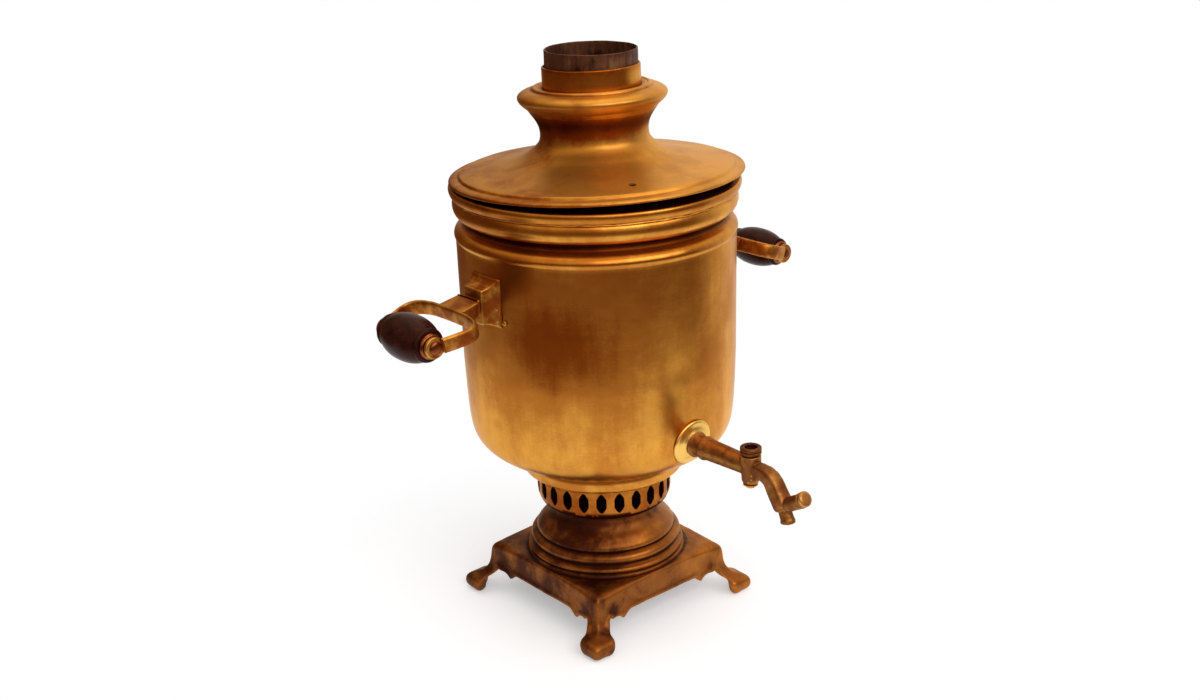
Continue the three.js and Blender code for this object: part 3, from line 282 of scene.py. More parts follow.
def patinated_metal(name, stops, patch=45.0, fine=9.0, rough=(0.24, 0.46), stretch=0.6, level=0.4, spread=1.0,
                    lines=0.5, rise=None, rub=0.0, bump=1.0, grit=0.6, lit_side=None, streaks=0.0, stains=(),
                    shift=0.0, metal=1.0):
    """Old metal under a patchy patina, with dark hollows and painted shade, rubbed edges and the marks of its
    making.

    patch and fine are the sizes of its patches in millimetres, stretch draws them out along Z, level is the
    patina's mean from 0 (clean) to 1 (darkest) and spread its contrast, rise is (low, high, change) for
    patina that changes with height in millimetres, lit_side is (azimuth, change) for painted light, which
    shifts the patina by change on the side at that azimuth and by its negative on the far side, lines is the
    depth of turning marks, rub is how far edges are worn bright, grit is fine pitting, streaks are drips that
    ran down, stains are (azimuth, reach, height, size, change) blots, shift moves the whole pattern, and
    metal is the share of bare metal: the rest is dull oxide."""
    made, tree, shader = start_material(name)
    place = from_axis(tree)
    tall = steer(tree, "MULTIPLY_ADD", place, (1, 1, stretch), (shift, 0.7 * shift, 0.4 * shift))
    fallen = steer(tree, "MULTIPLY_ADD", place, (1, 1, DRIP_STRETCH), (0, 0, shift))
    clouds = mottle(tree, tall, patch, 4, distortion=0.4)
    spots = mottle(tree, place, fine, 5, 0.65)
    specks = mottle(tree, place, SPECK_SIZE, 3)
    drips = mottle(tree, fallen, DRIP_SIZE, 3, 0.6)
    # Turning marks are rings that follow the radius and the height
    height = add_node(tree, "ShaderNodeSeparateXYZ", {0: place}).outputs["Z"]
    radius = steer(tree, "LENGTH", steer(tree, "MULTIPLY", place, (1, 1, 0)))
    ringed = add_node(tree, "ShaderNodeCombineXYZ", {"X": radius, "Z": height}).outputs[0]
    rings = mottle(tree, ringed, TURNING_MARK_SIZE, 3, 0.6)
    grime_and_shade = add_node(tree, "ShaderNodeAttribute", attribute_name="grime_and_shade").outputs["Fac"]
    shares = (0.95 * spread, 0.35 * spread, 0.12, 0.08, streaks)
    total = level - sum(shares) / 2
    for share, pattern in zip(shares, (clouds, spots, specks, rings, drips)):
        total = reckon(tree, "MULTIPLY_ADD", pattern, share, total)
    changes = []
    if rise:
        low, high, change = rise
        changes.append(eased(tree, height, low * MM, high * MM, 0, change))
    # Painted light: the patina is lighter on the lit side and darker on the far side
    if lit_side:
        azimuth, change = lit_side
        side = steer(tree, "DOT_PRODUCT", place, (math.cos(azimuth), math.sin(azimuth), 0))
        changes.append(eased(tree, side, -LIT_SIDE_REACH * MM, LIT_SIDE_REACH * MM, -change, change))
    for azimuth, reach, up, size, change in stains:
        middle = (reach * MM * math.cos(azimuth), reach * MM * math.sin(azimuth), up * MM)
        ragged = reckon(tree, "MULTIPLY_ADD", spots, size * MM * 0.9, steer(tree, "DISTANCE", place, middle))
        changes.append(eased(tree, ragged, size * MM * 0.6, size * MM * 1.7, change, 0))
    if rub:
        edges = add_node(tree, "ShaderNodeNewGeometry").outputs["Pointiness"]
        changes.append(ranged(tree, edges, 0.42, 0.58, rub, -rub))
    for change in changes:
        total = reckon(tree, "ADD", total, change)
    # The grime_and_shade attribute darkens the patina: grime at joints and grooves, and painted shade where
    # shade falls
    total = reckon(tree, "MULTIPLY_ADD", grime_and_shade, 0.7, total)
    # Where the grime_and_shade attribute is deepest the colour goes to soot, dull and nearly black: soot at
    # real joints, and painted shade in recesses and under overhangs
    soot_and_shade_share = eased(tree, grime_and_shade, 0.45, 1)
    soot_and_shade = (*bpy.context.scene.samovar_finish.soot_and_shade, 1)
    gloss = reckon(tree, "MULTIPLY_ADD", soot_and_shade_share, 0.3, ranged(tree, total, 0.1, 1, *rough), use_clamp=True)
    relief = reckon(tree, "MULTIPLY_ADD", rings, 0.02 * lines, 0)
    swell = mottle(tree, place, SWELL_SIZE, 2)
    for share, pattern in ((0.05 * grit, specks), (0.25 * grit, spots), (0.9, swell)):
        relief = reckon(tree, "MULTIPLY_ADD", pattern, share, relief)
    feed(tree, shader, {
        "Base Color": blend(tree, soot_and_shade_share, graded(tree, total, stops), soot_and_shade), "Roughness": gloss,
        "Specular Tint": (1, 0.86, 0.68, 1), "Metallic": metal, "Normal": raised(tree, relief, bump)})
    return made


def worn_brass(tones):
    """The stops of brass that goes from rubbed gold over honey and umber to burnt brown."""
    return [(0.05, tones.brass), (0.38, tones.honey), (0.68, tones.umber), (1.0, tones.burnt)]


def spun_brass(tones):
    """Sheet brass of the body, spun and planished by hand: warm gold below, browner patina higher up."""
    stains = ((math.radians(-146), BODY_RADIUS, 238, 46, 0.27),
              (math.radians(40), BODY_RADIUS, 215, 50, 0.25))
    return patinated_metal("spun_sheet_brass", worn_brass(tones), patch=50, fine=12, rough=(0.28, 0.4),
                           stretch=0.5, level=0.155, spread=0.75, rise=(140, 225, 0.15), bump=0.45,
                           streaks=0.24, stains=stains)


def dry_brass(tones):
    """Pale brass of the lid, dulled by steam to a dry tan; painted light makes its lit side more golden and
    the far side darker.
    """
    stops = [(0.05, tones.brass), (0.35, tones.tan), (0.65, tones.umber), (1.0, tones.burnt)]
    return patinated_metal("steamed_lid_brass", stops, patch=34, fine=9, rough=(0.38, 0.5), stretch=1,
                           level=0.3, spread=0.75, bump=0.4, lines=0.9,
                           lit_side=(math.radians(-40), -0.18), shift=0.31, metal=0.92)


def ring_brass(tones):
    """Turned brass of the rim and the blower ring: honey coloured, brown in its hollows and where painted
    shade darkens it, and painted lighter on its lit side.
    """
    return patinated_metal("turned_ring_brass", worn_brass(tones), patch=30, fine=8, rough=(0.28, 0.42),
                           stretch=1.4, level=0.27, spread=0.8, bump=0.35,
                           lit_side=(math.radians(-60), -0.08))


def handle_brass(tones):
    """Cast and strip brass of the handles, brazed, left in its dull brown skin and crusted with solder."""
    stops = [(0.05, linear("d8a862")), (0.35, tones.tan), (0.65, tones.umber), (1.0, tones.burnt)]
    return patinated_metal("brazed_handle_brass", stops, patch=13, fine=4, rough=(0.34, 0.48), stretch=1,
                           level=0.55, spread=0.9, rub=0.4, bump=0.4, lines=0.1, grit=1.4, metal=0.9)


def steamed_and_shaded_brass(tones):
    """Sheet brass of the lid's skirt, tarnished by steam and painted nearly black: painted shade for the dark
    gap between the lid and the rim.
    """
    stops = [(0.0, tones.bronze_dark), (0.4, tones.soot_and_shade), (1.0, linear("0c0402"))]
    return patinated_metal("steamed_and_shaded_sheet_brass", stops, patch=20, fine=5, rough=(0.6, 0.8), level=0.6,
                           bump=0.3)


def polished_brass(tones):
    """Newer sheet brass of the rosette: bright yellow, with little patina."""
    stops = [(0.1, tones.bright), (0.5, tones.brass), (1.0, tones.umber)]
    return patinated_metal("polished_rosette_brass", stops, patch=16, fine=4, rough=(0.34, 0.46), level=0.12,
                           spread=0.6, bump=0.2, lines=0.3)


def cast_bronze(tones):
    """Sand-cast bronze of the base: red brown patina, nearly black in hollows and where painted shade darkens
    it, rubbed golden on its edges, and painted lighter on its lit side.
    """
    stops = [(0.0, tones.honey), (0.35, tones.bronze), (0.7, tones.bronze_dark), (1.0, tones.soot_and_shade)]
    return patinated_metal("sand_cast_bronze", stops, patch=26, fine=7, rough=(0.36, 0.52), stretch=1,
                           level=0.44, spread=1.1, rub=0.3, bump=0.5, lines=0.1, grit=1.3,
                           lit_side=(math.radians(-30), -0.18), metal=0.8)


def tap_bronze(tones):
    """Cast bronze of the tap: brown and handled, golden where fingers rub it."""
    stops = [(0.0, linear("d2a060")), (0.3, linear("a8733a")), (0.6, linear("7c4822")),
             (1.0, tones.bronze_dark)]
    return patinated_metal("handled_tap_bronze", stops, patch=13, fine=4, rough=(0.38, 0.5), stretch=1,
                           level=0.54, spread=0.95, rub=0.45, bump=0.3, lines=0.15, grit=1.2, metal=0.85)


def coppery_bronze(tones):
    """Turned ferrules and rod heads: coppery, and bright where the hand wears them."""
    stops = [(0.1, linear("e0a878")), (0.45, linear("8a4a2c")), (1.0, linear("38140e"))]
    return patinated_metal("coppery_ferrule", stops, patch=8, fine=3, rough=(0.2, 0.36), level=0.55,
                           spread=0.8, rub=0.4, bump=0.2)


def sooty_iron(tones):
    """Rolled iron of the flue, ash pan and grate: dull red brown, sooty, lightly scratched up and down."""
    made, tree, shader = start_material("sooty_rolled_iron")
    place = from_axis(tree)
    scratches = mottle(tree, steer(tree, "MULTIPLY", place, (1, 1, 0.12)), 3, 3)
    total = reckon(tree, "MULTIPLY_ADD", scratches, 0.36, -0.08)
    total = reckon(tree, "MULTIPLY_ADD", mottle(tree, place, 14, 5), 0.75, total)
    stops = [(0.24, linear("946a4c")), (0.48, tones.iron), (0.64, linear("341810")), (0.84, tones.soot_and_shade)]
    feed(tree, shader, {"Base Color": graded(tree, total, stops), "Metallic": 0.85,
                        "Roughness": ranged(tree, total, 0.2, 0.9, 0.42, 0.7),
                        "Normal": raised(tree, total, 0.12, 0.8)})
    return made


def turned_wood(tones):
    """Hardwood turned on the lathe, stained nearly black and rubbed with wax: fine grain along the grip."""
    made, tree, shader = start_material("waxed_turned_hardwood")
    place = add_node(tree, "ShaderNodeTexCoord").outputs["Object"]
    grain = mottle(tree, steer(tree, "MULTIPLY", place, (1, 0.12, 1)), 1.1, 5, 0.62)
    worn = mottle(tree, place, 9, 4)
    total = reckon(tree, "MULTIPLY_ADD", grain, 0.7, -0.15)
    total = reckon(tree, "MULTIPLY_ADD", worn, 0.8, total)
    stops = [(0.3, linear("120302")), (0.58, tones.wood), (0.78, linear("3e160e")), (0.97, linear("6b4030"))]
    feed(tree, shader, {"Base Color": graded(tree, total, stops), "IOR": 1.45, "Specular IOR Level": 0.14,
                        "Specular Tint": (1, 0.62, 0.45, 1), "Roughness": ranged(tree, worn, 0, 1, 0.2, 0.42),
                        "Normal": raised(tree, grain, 0.12, 0.6)})
    return made


def gasket_leather(tones):
    """Vegetable-tanned leather of the tap's gasket: red brown, with a pebbled grain about 0.8 mm across."""
    made, tree, shader = start_material("tanned_gasket_leather")
    place = add_node(tree, "ShaderNodeTexCoord").outputs["Object"]
    pebbles = add_node(tree, "ShaderNodeTexVoronoi", {"Vector": place,
                                                      "Scale": 1 / (0.8 * MM)}).outputs["Distance"]
    feed(tree, shader, {"Base Color": graded(tree, pebbles, [(0.0, tones.leather), (0.9, linear("341509"))]),
                        "Roughness": 0.7, "Normal": raised(tree, pebbles, 0.1, 0.5)})
    return made


MAKERS = {
    "spun": spun_brass, "dry": dry_brass, "ring": ring_brass, "handle": handle_brass, "steamed_and_shaded": steamed_and_shaded_brass,
    "polished": polished_brass, "cast": cast_bronze, "tap": tap_bronze, "coppery": coppery_bronze,
    "iron": sooty_iron, "wood": turned_wood, "leather": gasket_leather,
}
MADE = {}


def finish(kind):
    """The material of a kind, made the first time that it is asked for."""
    if kind not in MADE:
        MADE[kind] = MAKERS[kind](bpy.context.scene.samovar_finish)
    return MADE[kind]


# Geometry Nodes trees

def start_tree(name, **inputs):
    """A new geometry tree that takes a mesh, the named inputs and a material, and gives one piece."""
    tree = bpy.data.node_groups.new(name, "GeometryNodeTree")
    tree.is_modifier = True
    keys = {}
    for label, kind in {"source": "Geometry", **inputs, "material": "Material"}.items():
        socket = tree.interface.new_socket(label.title(), in_out="INPUT", socket_type=f"NodeSocket{kind}")
        keys[label] = socket.identifier
    tree.interface.new_socket("Piece", in_out="OUTPUT", socket_type="NodeSocketGeometry")
    return tree, keys, add_node(tree, "NodeGroupInput").outputs


def end_tree(tree, given, geometry, weld):
    """Makes a tree's instances real, welds them within a distance and gives the piece its material."""
    real = add_node(tree, "GeometryNodeRealizeInstances", {0: geometry})
    closed = add_node(tree, "GeometryNodeMergeByDistance", {"Geometry": real.outputs[0], "Distance": weld})
    coated = add_node(tree, "GeometryNodeSetMaterial", {"Geometry": closed.outputs[0],
                                                        "Material": given["Material"]})
    add_node(tree, "NodeGroupOutput", {"Piece": coated.outputs[0]})


def turning_tree():
    """Turns an outline round the axis. The outline's points are the rows, and the facets are the columns."""
    tree, keys, given = start_tree("Turned piece", facets="Int")
    outline, facets = given["Source"], given["Facets"]
    size = add_node(tree, "GeometryNodeAttributeDomainSize", {0: outline}, component="MESH")
    columns = tally(tree, "ADD", facets, 1)
    grid = add_node(tree, "GeometryNodeMeshGrid", {"Vertices X": size.outputs["Point Count"],
                                                   "Vertices Y": columns})
    index = add_node(tree, "GeometryNodeInputIndex").outputs[0]
    row = tally(tree, "DIVIDE", index, columns)
    column = tally(tree, "MODULO", index, columns)
    place = add_node(tree, "GeometryNodeInputPosition").outputs[0]
    dirt_and_shade = add_node(tree, "GeometryNodeInputNamedAttribute", {"Name": "grime_and_shade"}, data_type="FLOAT").outputs[0]
    point, grime_and_shade = (add_node(tree, "GeometryNodeSampleIndex",
                             {"Geometry": outline, "Value": value, "Index": row},
                             data_type=kind, domain="POINT").outputs[0]
                    for kind, value in (("FLOAT_VECTOR", place), ("FLOAT", dirt_and_shade)))
    angle = reckon(tree, "MULTIPLY", reckon(tree, "DIVIDE", column, facets), FULL_TURN)
    swept = add_node(tree, "ShaderNodeVectorRotate", {"Vector": point, "Angle": angle},
                     rotation_type="Z_AXIS")
    laid = add_node(tree, "GeometryNodeSetPosition", {"Geometry": grid.outputs["Mesh"],
                                                      "Position": swept.outputs[0]})
    stored = add_node(tree, "GeometryNodeStoreNamedAttribute",
                      {"Geometry": laid.outputs[0], "Name": "grime_and_shade", "Value": grime_and_shade}, data_type="FLOAT",
                      domain="POINT")
    end_tree(tree, given, stored.outputs[0], 0.002)
    return tree, keys


def repeating_tree():
    """Sets copies of a wedge side by side round the axis, and welds them into one piece."""
    tree, keys, given = start_tree("Repeated round the axis", count="Int", phase="Float")
    points = add_node(tree, "GeometryNodePoints", {"Count": given["Count"]}).outputs[0]
    index = add_node(tree, "GeometryNodeInputIndex").outputs[0]
    share = reckon(tree, "DIVIDE", index, given["Count"])
    angle = reckon(tree, "MULTIPLY_ADD", share, FULL_TURN, given["Phase"])
    facing = add_node(tree, "ShaderNodeCombineXYZ", {"Z": angle}).outputs[0]
    copies = add_node(tree, "GeometryNodeInstanceOnPoints", {"Points": points, "Instance": given["Source"],
                                                             "Rotation": facing})
    end_tree(tree, given, copies.outputs[0], 0.01)
    return tree, keys


TREES = {}


def put(name, data):
    """A new object of some data, linked into the scene."""
    made = bpy.data.objects.new(name, data)
    bpy.context.scene.collection.objects.link(made)
    return made


def run_tree(build, source, **inputs):
    """The plain mesh that a tree makes of a mesh. Its inputs are set by their sockets' identifiers."""
    if build not in TREES:
        TREES[build] = build()
    tree, keys = TREES[build]
    holder = put("in_work", source)
    worker = holder.modifiers.new("making", "NODES")
    worker.node_group = tree
    for name, value in inputs.items():
        worker[keys[name]] = value
    return baked(holder)


def baked(holder):
    """The plain mesh of an object with its modifiers. The object and its modifiers go."""
    graph = bpy.context.evaluated_depsgraph_get()
    mesh = bpy.data.meshes.new_from_object(holder.evaluated_get(graph), preserve_all_data_layers=True,
                                           depsgraph=graph)
    bpy.data.objects.remove(holder)
    if not mesh.polygons:
        raise RuntimeError("a piece came out without faces")
    return mesh


def worked(mesh, *steps):
    """The plain mesh after modifiers, each given as (type, settings)."""
    holder = put("in_work", mesh)
    for kind, settings in steps:
        made = holder.modifiers.new(kind.title(), kind)
        for name, value in settings.items():
            setattr(made, name, value)
    return baked(holder)


# Shapes, in millimetres

def rounded(outline, reach=0.45, arc=4, closed=True):
    """An outline of (radius, height) points with each corner turned in a small arc.

    A third value in a point is its own reach, the length that the arc takes of each side."""
    done = []
    count = len(outline)
    for i, point in enumerate(outline):
        here = Vector(point[:2])
        own = point[2] if len(point) > 2 else reach
        if not own or (not closed and i in (0, count - 1)):
            done.append(here)
            continue
        before = Vector(outline[i - 1][:2]) - here
        after = Vector(outline[(i + 1) % count][:2]) - here
        if min(before.length, after.length) < 1e-6 or math.pi - before.angle(after) < 0.2:
            done.append(here)
            continue
        cut = min(own, before.length * 0.45, after.length * 0.45)
        start, end = here + before.normalized() * cut, here + after.normalized() * cut
        for k in range(arc + 1):
            t = k / arc
            done.append(start * (1 - t) ** 2 + here * (2 * t * (1 - t)) + end * (t * t))
    return done


def spaced(points, step, closed):
    """The same line with its long runs split, so that it can swell and take grime and painted shade along the
    way.
    """
    done = []
    count = len(points)
    for i, point in enumerate(points):
        done.append(point)
        if i == count - 1 and not closed:
            break
        after = points[(i + 1) % count]
        pieces = max(1, math.ceil((after - point).length / step))
        done += [point.lerp(after, k / pieces) for k in range(1, pieces)]
    return done


def smooth(points, steps=5):
    """A smooth line through (radius, height) points. Its points take no arc of their own."""
    line = [Vector(p[:2]) for p in points]
    ends = [2 * line[0] - line[1], *line, 2 * line[-1] - line[-2]]
    done = []
    for i in range(1, len(ends) - 2):
        a, b, c, d = ends[i - 1:i + 3]
        for k in range(steps):
            t = k / steps
            done.append(0.5 * (2 * b + (c - a) * t + (2 * a - 5 * b + 4 * c - d) * t * t
                               + (3 * b - a - 3 * c + d) * t ** 3))
    done.append(line[-1])
    return [(p.x, p.y, 0) for p in done]


def inside(line, wall):
    """The line of (radius, height) points moved to its left by the wall, backwards."""
    points = [Vector(p[:2]) for p in line]
    shifted = []
    for i, point in enumerate(points):
        along = points[min(i + 1, len(points) - 1)] - points[max(i - 1, 0)]
        along.normalize()
        shifted.append((point.x - along.y * wall, point.y + along.x * wall, 0.25))
    return shifted[::-1]


def turned(outline, crevices=(), facets=None, step=3.0, reach=0.45):
    """A mesh turned from an outline. Crevices are (radius, height, size, depth) places painted darker: grime
    at joints and in grooves, and painted shade in recesses and under overhangs.

    The material that the tree sets is a stand-in, for add_piece gives each piece its own."""
    on_axis = abs(outline[0][0]) < 1e-9 and abs(outline[-1][0]) < 1e-9
    line = spaced(rounded(outline, reach, closed=not on_axis), step, closed=not on_axis)
    if not on_axis:
        line.append(line[0])
    source = bpy.data.meshes.new("outline")
    source.from_pydata([(p.x, 0, p.y) for p in line], [(i, i + 1) for i in range(len(line) - 1)], [])
    dirt_and_shade = source.attributes.new("grime_and_shade", "FLOAT", "POINT")
    for i, point in enumerate(line):
        value = 0.0
        for radius, height, size, depth in crevices:
            away = (point - Vector((radius, height))).length
            value = max(value, depth * math.exp(-((away / size) ** 2)))
        dirt_and_shade.data[i].value = value
    shape = bpy.context.scene.samovar_shape
    mesh = run_tree(turning_tree, source, facets=facets or shape.facets, material=finish("spun"))
    return facing_out(mesh)


def facing_out(mesh, weld=0.0):
    """The mesh with every face pointing outwards."""
    work = bmesh.new()
    work.from_mesh(mesh)
    if weld:
        bmesh.ops.remove_doubles(work, verts=work.verts, dist=weld)
    bmesh.ops.recalc_face_normals(work, faces=work.faces)
    if work.calc_volume(signed=True) < 0:
        bmesh.ops.reverse_faces(work, faces=work.faces)
    work.to_mesh(mesh)
    work.free()
    return mesh


def bar(radius, low, high, facets=32):
    """A plain round bar along Z, to cut a hole with."""
    return turned([(0, low), (radius, low), (radius, high), (0, high)], facets=facets, step=math.inf)


def swollen(mesh, depth, size, seed, keep=None):
    """Moves each point along its normal by a slow wander, as hand work leaves a surface."""
    shift = Vector((seed * 17.3, seed * 5.9, seed * 11.1))
    moves = []
    for corner in mesh.vertices:
        amount = depth * noise.noise(corner.co / size + shift)
        if keep:
            amount *= keep(corner.co)
        moves.append(corner.co + corner.normal * amount)
    for corner, place in zip(mesh.vertices, moves):
        corner.co = place
    mesh.update()
    return mesh


def skin(sections, caps=True, ring=True):
    """A mesh through sections, each a list of points of the same count."""
    count = len(sections[0])
    points = [p for section in sections for p in section]
    faces = []
    for level in range(len(sections) - 1):
        for k in range(count if ring else count - 1):
            a = level * count + k
            b = level * count + (k + 1) % count
            faces.append((a, b, b + count, a + count))
    if caps:
        faces.append(tuple(range(count)))
        faces.append(tuple(range(len(points) - count, len(points))))
    mesh = bpy.data.meshes.new("skin")
    mesh.from_pydata([tuple(p) for p in points], [], faces)
    return facing_out(mesh)


def slab(plan, heights, order="xyz"):
    """A prism with a plan of (first, second) points and the given heights, along the axes in their order."""
    places = [order.index(axis) for axis in "xyz"]
    return skin([[Vector([(*point, height)[i] for i in places]) for point in plan] for height in heights])


def made_of(work, name):
    """A new mesh of what was built in a bmesh, which is freed."""
    mesh = bpy.data.meshes.new(name)
    work.to_mesh(mesh)
    work.free()
    return mesh


def joined(*meshes):
    """One mesh of several."""
    work = bmesh.new()
    for mesh in meshes:
        work.from_mesh(mesh)
    return made_of(work, "joined")


def cut_away(mesh, *tools):
    """The mesh with the tools' shapes taken out of it."""
    for tool in tools:
        cutter = put("cutter", tool)
        mesh = worked(mesh, ("BOOLEAN", {"operation": "DIFFERENCE", "solver": "EXACT", "object": cutter}))
        bpy.data.objects.remove(cutter)
    return mesh


def cast(parts, voxel, smoothing=3):
    """One casting from overlapping closed parts, with its inner corners filled as molten metal fills them."""
    mesh = worked(joined(*parts), ("REMESH", {"mode": "VOXEL", "voxel_size": voxel}),
                  ("SMOOTH", {"factor": 0.5, "iterations": smoothing}))
    return facing_out(mesh)


def moved(mesh, matrix):
    """The mesh after a matrix, with its faces still pointing outwards."""
    mesh.transform(matrix)
    if matrix.determinant() < 0:
        mesh.flip_normals()
    return mesh


ALONG_TAP = Matrix.Rotation(math.pi / 2, 4, "X")


def on_tap_axis(mesh):
    """Lays a mesh that was turned about Z along the tap: its heights become reaches towards -Y."""
    return moved(mesh, Matrix.Translation((0, 0, TAP_HEIGHT)) @ ALONG_TAP)


def add_piece(name, mesh, body, kind, stands_for, matrix=None, sharp=38):
    """Puts a finished piece in its place on a body, with its material."""
    moved(mesh, ROOT @ matrix if matrix else ROOT)
    mesh.materials.clear()
    mesh.materials.append(finish(kind))
    mesh.shade_smooth()
    mesh.set_sharp_from_angle(angle=math.radians(sharp))
    mesh.update()
    piece = put(name, mesh)
    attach(piece, body)
    if stands_for:
        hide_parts(*stands_for)


def dress_node(node, kind):
    """Gives a frame's own piece its finish."""
    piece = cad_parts[node]
    piece.data.materials.clear()
    piece.data.materials.append(finish(kind))


def between(rows, at):
    """The values at a place, read off rows of (place, value, ...) that rise. None where no row reaches."""
    for low, high in zip(rows, rows[1:]):
        if low[0] <= at <= high[0]:
            t = (at - low[0]) / (high[0] - low[0])
            return [a + t * (b - a) for a, b in zip(low[1:], high[1:])]
    return None


def body_radius(height):
    """Outer radius of the body's wall at a height."""
    found = between([(z, r) for r, z in (*BOWL, *WALL)], height)
    return found[0] if found else BODY_RADIUS


# Base: the skirt's lower edge runs from the middle of a side to the leg, by way of a cusp and an arch

SKIRT_EDGE = 20.8
SKIRT_WALL = 2.8
CUSP_HEIGHT = 14.5
CUSP_REACH = 39.5
CUSP_WIDTH = 6.0
ARCH_REACH = 56.0
ARCH_RISE = 5.2
FOOT_HEIGHT = 14.0
COLLAR_BOTTOM = 38.2
COLLAR = [(61.9, 41.0), (61.6, 41.25), (61.5, 42.0), (61.2, 42.7), (60.2, 43.2), (58.6, 43.5), (50.6, 43.5),
          (50.0, 42.9), (50.0, 38.8), (50.6, COLLAR_BOTTOM), (58.0, COLLAR_BOTTOM)]
# Height, corner distance and arm length as shares of the plate's half, and the leg's thickness
LEG_LEVELS = [(26.0, 1.02, 0.2, 4.6), (21.6, 1.036, 0.195, 4.8), (20.0, 1.045, 0.194, 4.8),
              (18.0, 1.062, 0.194, 4.9), (16.4, 1.082, 0.196, 5.0), (14.8, 1.11, 0.2, 5.4),
              (13.6, 1.142, 0.21, 6.0), (12.9, 1.18, 0.24, 7.4), (12.4, 1.222, 0.29, 9.4),
              (11.6, 1.25, 0.316, 11.0), (9.6, 1.268, 0.33, 12.0), (7.0, 1.272, 0.332, 12.0),
              (4.6, 1.27, 0.318, 12.0), (2.4, 1.26, 0.29, 11.4), (0.8, 1.24, 0.244, 10.0),
              (0.0, 1.21, 0.195, 8.6)]
SKIRT_COLUMNS = 34
LEG_COLUMNS = 8
# How far up the plinth's wall each row of points lies
LIFT_SHARES = [0, 0.04, 0.085, 0.14, 0.2, 0.28, 0.38, 0.5, 0.62, 0.74, 0.82, 0.88, 0.93, 0.965, 0.985,
               0.996, 1]


def skirt_edge(share):
    """Height of the skirt's lower edge, at a share of the way from a side's middle to the leg."""
    reach = share * ARCH_REACH
    if reach < CUSP_REACH:
        t = max(0.0, (reach - CUSP_REACH + CUSP_WIDTH) / CUSP_WIDTH)
        return SKIRT_EDGE - (SKIRT_EDGE - CUSP_HEIGHT) * t * t
    t = (reach - CUSP_REACH) / (ARCH_REACH - CUSP_REACH)
    return CUSP_HEIGHT + ARCH_RISE * math.sin(math.pi * min(1, t) ** 0.8 * 0.62) ** 0.75


def wall_half(height):
    """Distance of the plinth's outer face from the axis, at a height."""
    up = max(0.0, (height - CUSP_HEIGHT) / (PLATE_HEIGHT - CUSP_HEIGHT))
    return PLATE_HALF * (1.02 - 0.02 * min(1, up / 0.9))


def leg_section(height):
    """Corner distance, arm share and wall of the leg, at a height."""
    top = LEG_LEVELS[0][0]
    if height >= top:
        up = min(1, (height - top) / (PLATE_HEIGHT - top))
        return PLATE_HALF * (1.02 - 0.02 * up), 0.2, 4.6 - 1.6 * up
    corner, arm, wall = between(LEG_LEVELS[::-1], height)
    return corner * PLATE_HALF, arm, wall


def edge_line():
    """Points along the skirt's lower edge and the leg's inner edge, that the raised bead follows."""
    line = [(ARCH_REACH * k / 80, skirt_edge(k / 80)) for k in range(81)]
    line += [((corner - arm) * PLATE_HALF, height) for height, corner, arm, _ in LEG_LEVELS[1:]]
    dense = []
    for (x0, z0), (x1, z1) in zip(line, line[1:]):
        steps = max(1, int(math.hypot(x1 - x0, z1 - z0) / 0.5))
        dense += [(x0 + (x1 - x0) * k / steps, z0 + (z1 - z0) * k / steps) for k in range(steps)]
    return dense


def plate_rounding(share, height):
    """How far the plate's rounded upper edge draws in, most of all at its corners."""
    radius = 2 + 5 * share ** 2
    up = min(1.0, max(0.0, (height - PLATE_HEIGHT) / radius + 1))
    return radius * (1 - math.sqrt(1 - up * up))


def plinth_wedge():
    """An eighth of the plinth, from a side's middle to a corner: outer and inner points, faces, top row.

    The skirt's columns start on its scalloped edge. The last ones run on down through the leg to the foot."""
    beaded = edge_line()
    leg_top = LEG_LEVELS[1][0]
    outer, inner, index = [], [], {}

    def arm_share(height):
        corner, arm, _ = leg_section(height)
        return arm * PLATE_HALF / corner

    def add(key, share, height):
        corner, _, leg_wall = leg_section(height)
        face = wall_half(height)
        arm = arm_share(height)
        weight = min(1, max(0, (share - 1 + arm + 0.14) / 0.14))
        weight = weight * weight * (3 - 2 * weight)
        out = face + (corner - face) * weight - plate_rounding(share, height)
        reach = share * (corner - plate_rounding(1, height))
        # The leg's wall is thick at its corner and thin at the ends of its two arms
        along = min(1, (1 - share) / arm)
        thin = min(1, max(0, (24 - height) / 8)) * (1 - math.sqrt(1 - 0.85 * along * along))
        wall = SKIRT_WALL + (leg_wall * (1 - thin) - SKIRT_WALL) * weight
        rim = min(min(math.hypot(reach - x, height - z) for x, z in beaded), 20)
        bead = 1.4 * math.exp(-((rim - 1.9) / 1.4) ** 2) if share < 0.985 else 0
        index[key] = len(outer)
        outer.append(Vector((reach, -(out + bead), height)))
        inner.append(Vector((reach - leg_wall * (1 - along), -(out - wall), height)))

    last_share = 1 - arm_share(leg_top)
    shares = [last_share * k / SKIRT_COLUMNS for k in range(SKIRT_COLUMNS + 1)]
    shares += [last_share + (1 - last_share) * k / LEG_COLUMNS for k in range(1, LEG_COLUMNS + 1)]
    for column, share in enumerate(shares):
        start = skirt_edge(share / last_share) if column < SKIRT_COLUMNS else leg_top
        for row, lift in enumerate(LIFT_SHARES):
            add((column, row), share, start + lift * (PLATE_HEIGHT - start))
    for level, (height, *_) in enumerate(LEG_LEVELS[2:], 1):
        arm = arm_share(height)
        for k in range(LEG_COLUMNS + 1):
            # The leg's rows go on below the skirt's rows, with negative numbers
            add((SKIRT_COLUMNS + k, -level), 1 - arm + arm * k / LEG_COLUMNS, height)
    faces = []
    for column in range(len(shares) - 1):
        lowest = 0 if column < SKIRT_COLUMNS else 2 - len(LEG_LEVELS)
        for row in range(lowest, len(LIFT_SHARES) - 1):
            corners = ((column, row), (column + 1, row), (column + 1, row + 1), (column, row + 1))
            faces.append([index[key] for key in corners])
    return outer, inner, faces, [index[(column, len(LIFT_SHARES) - 1)] for column in range(len(shares))]


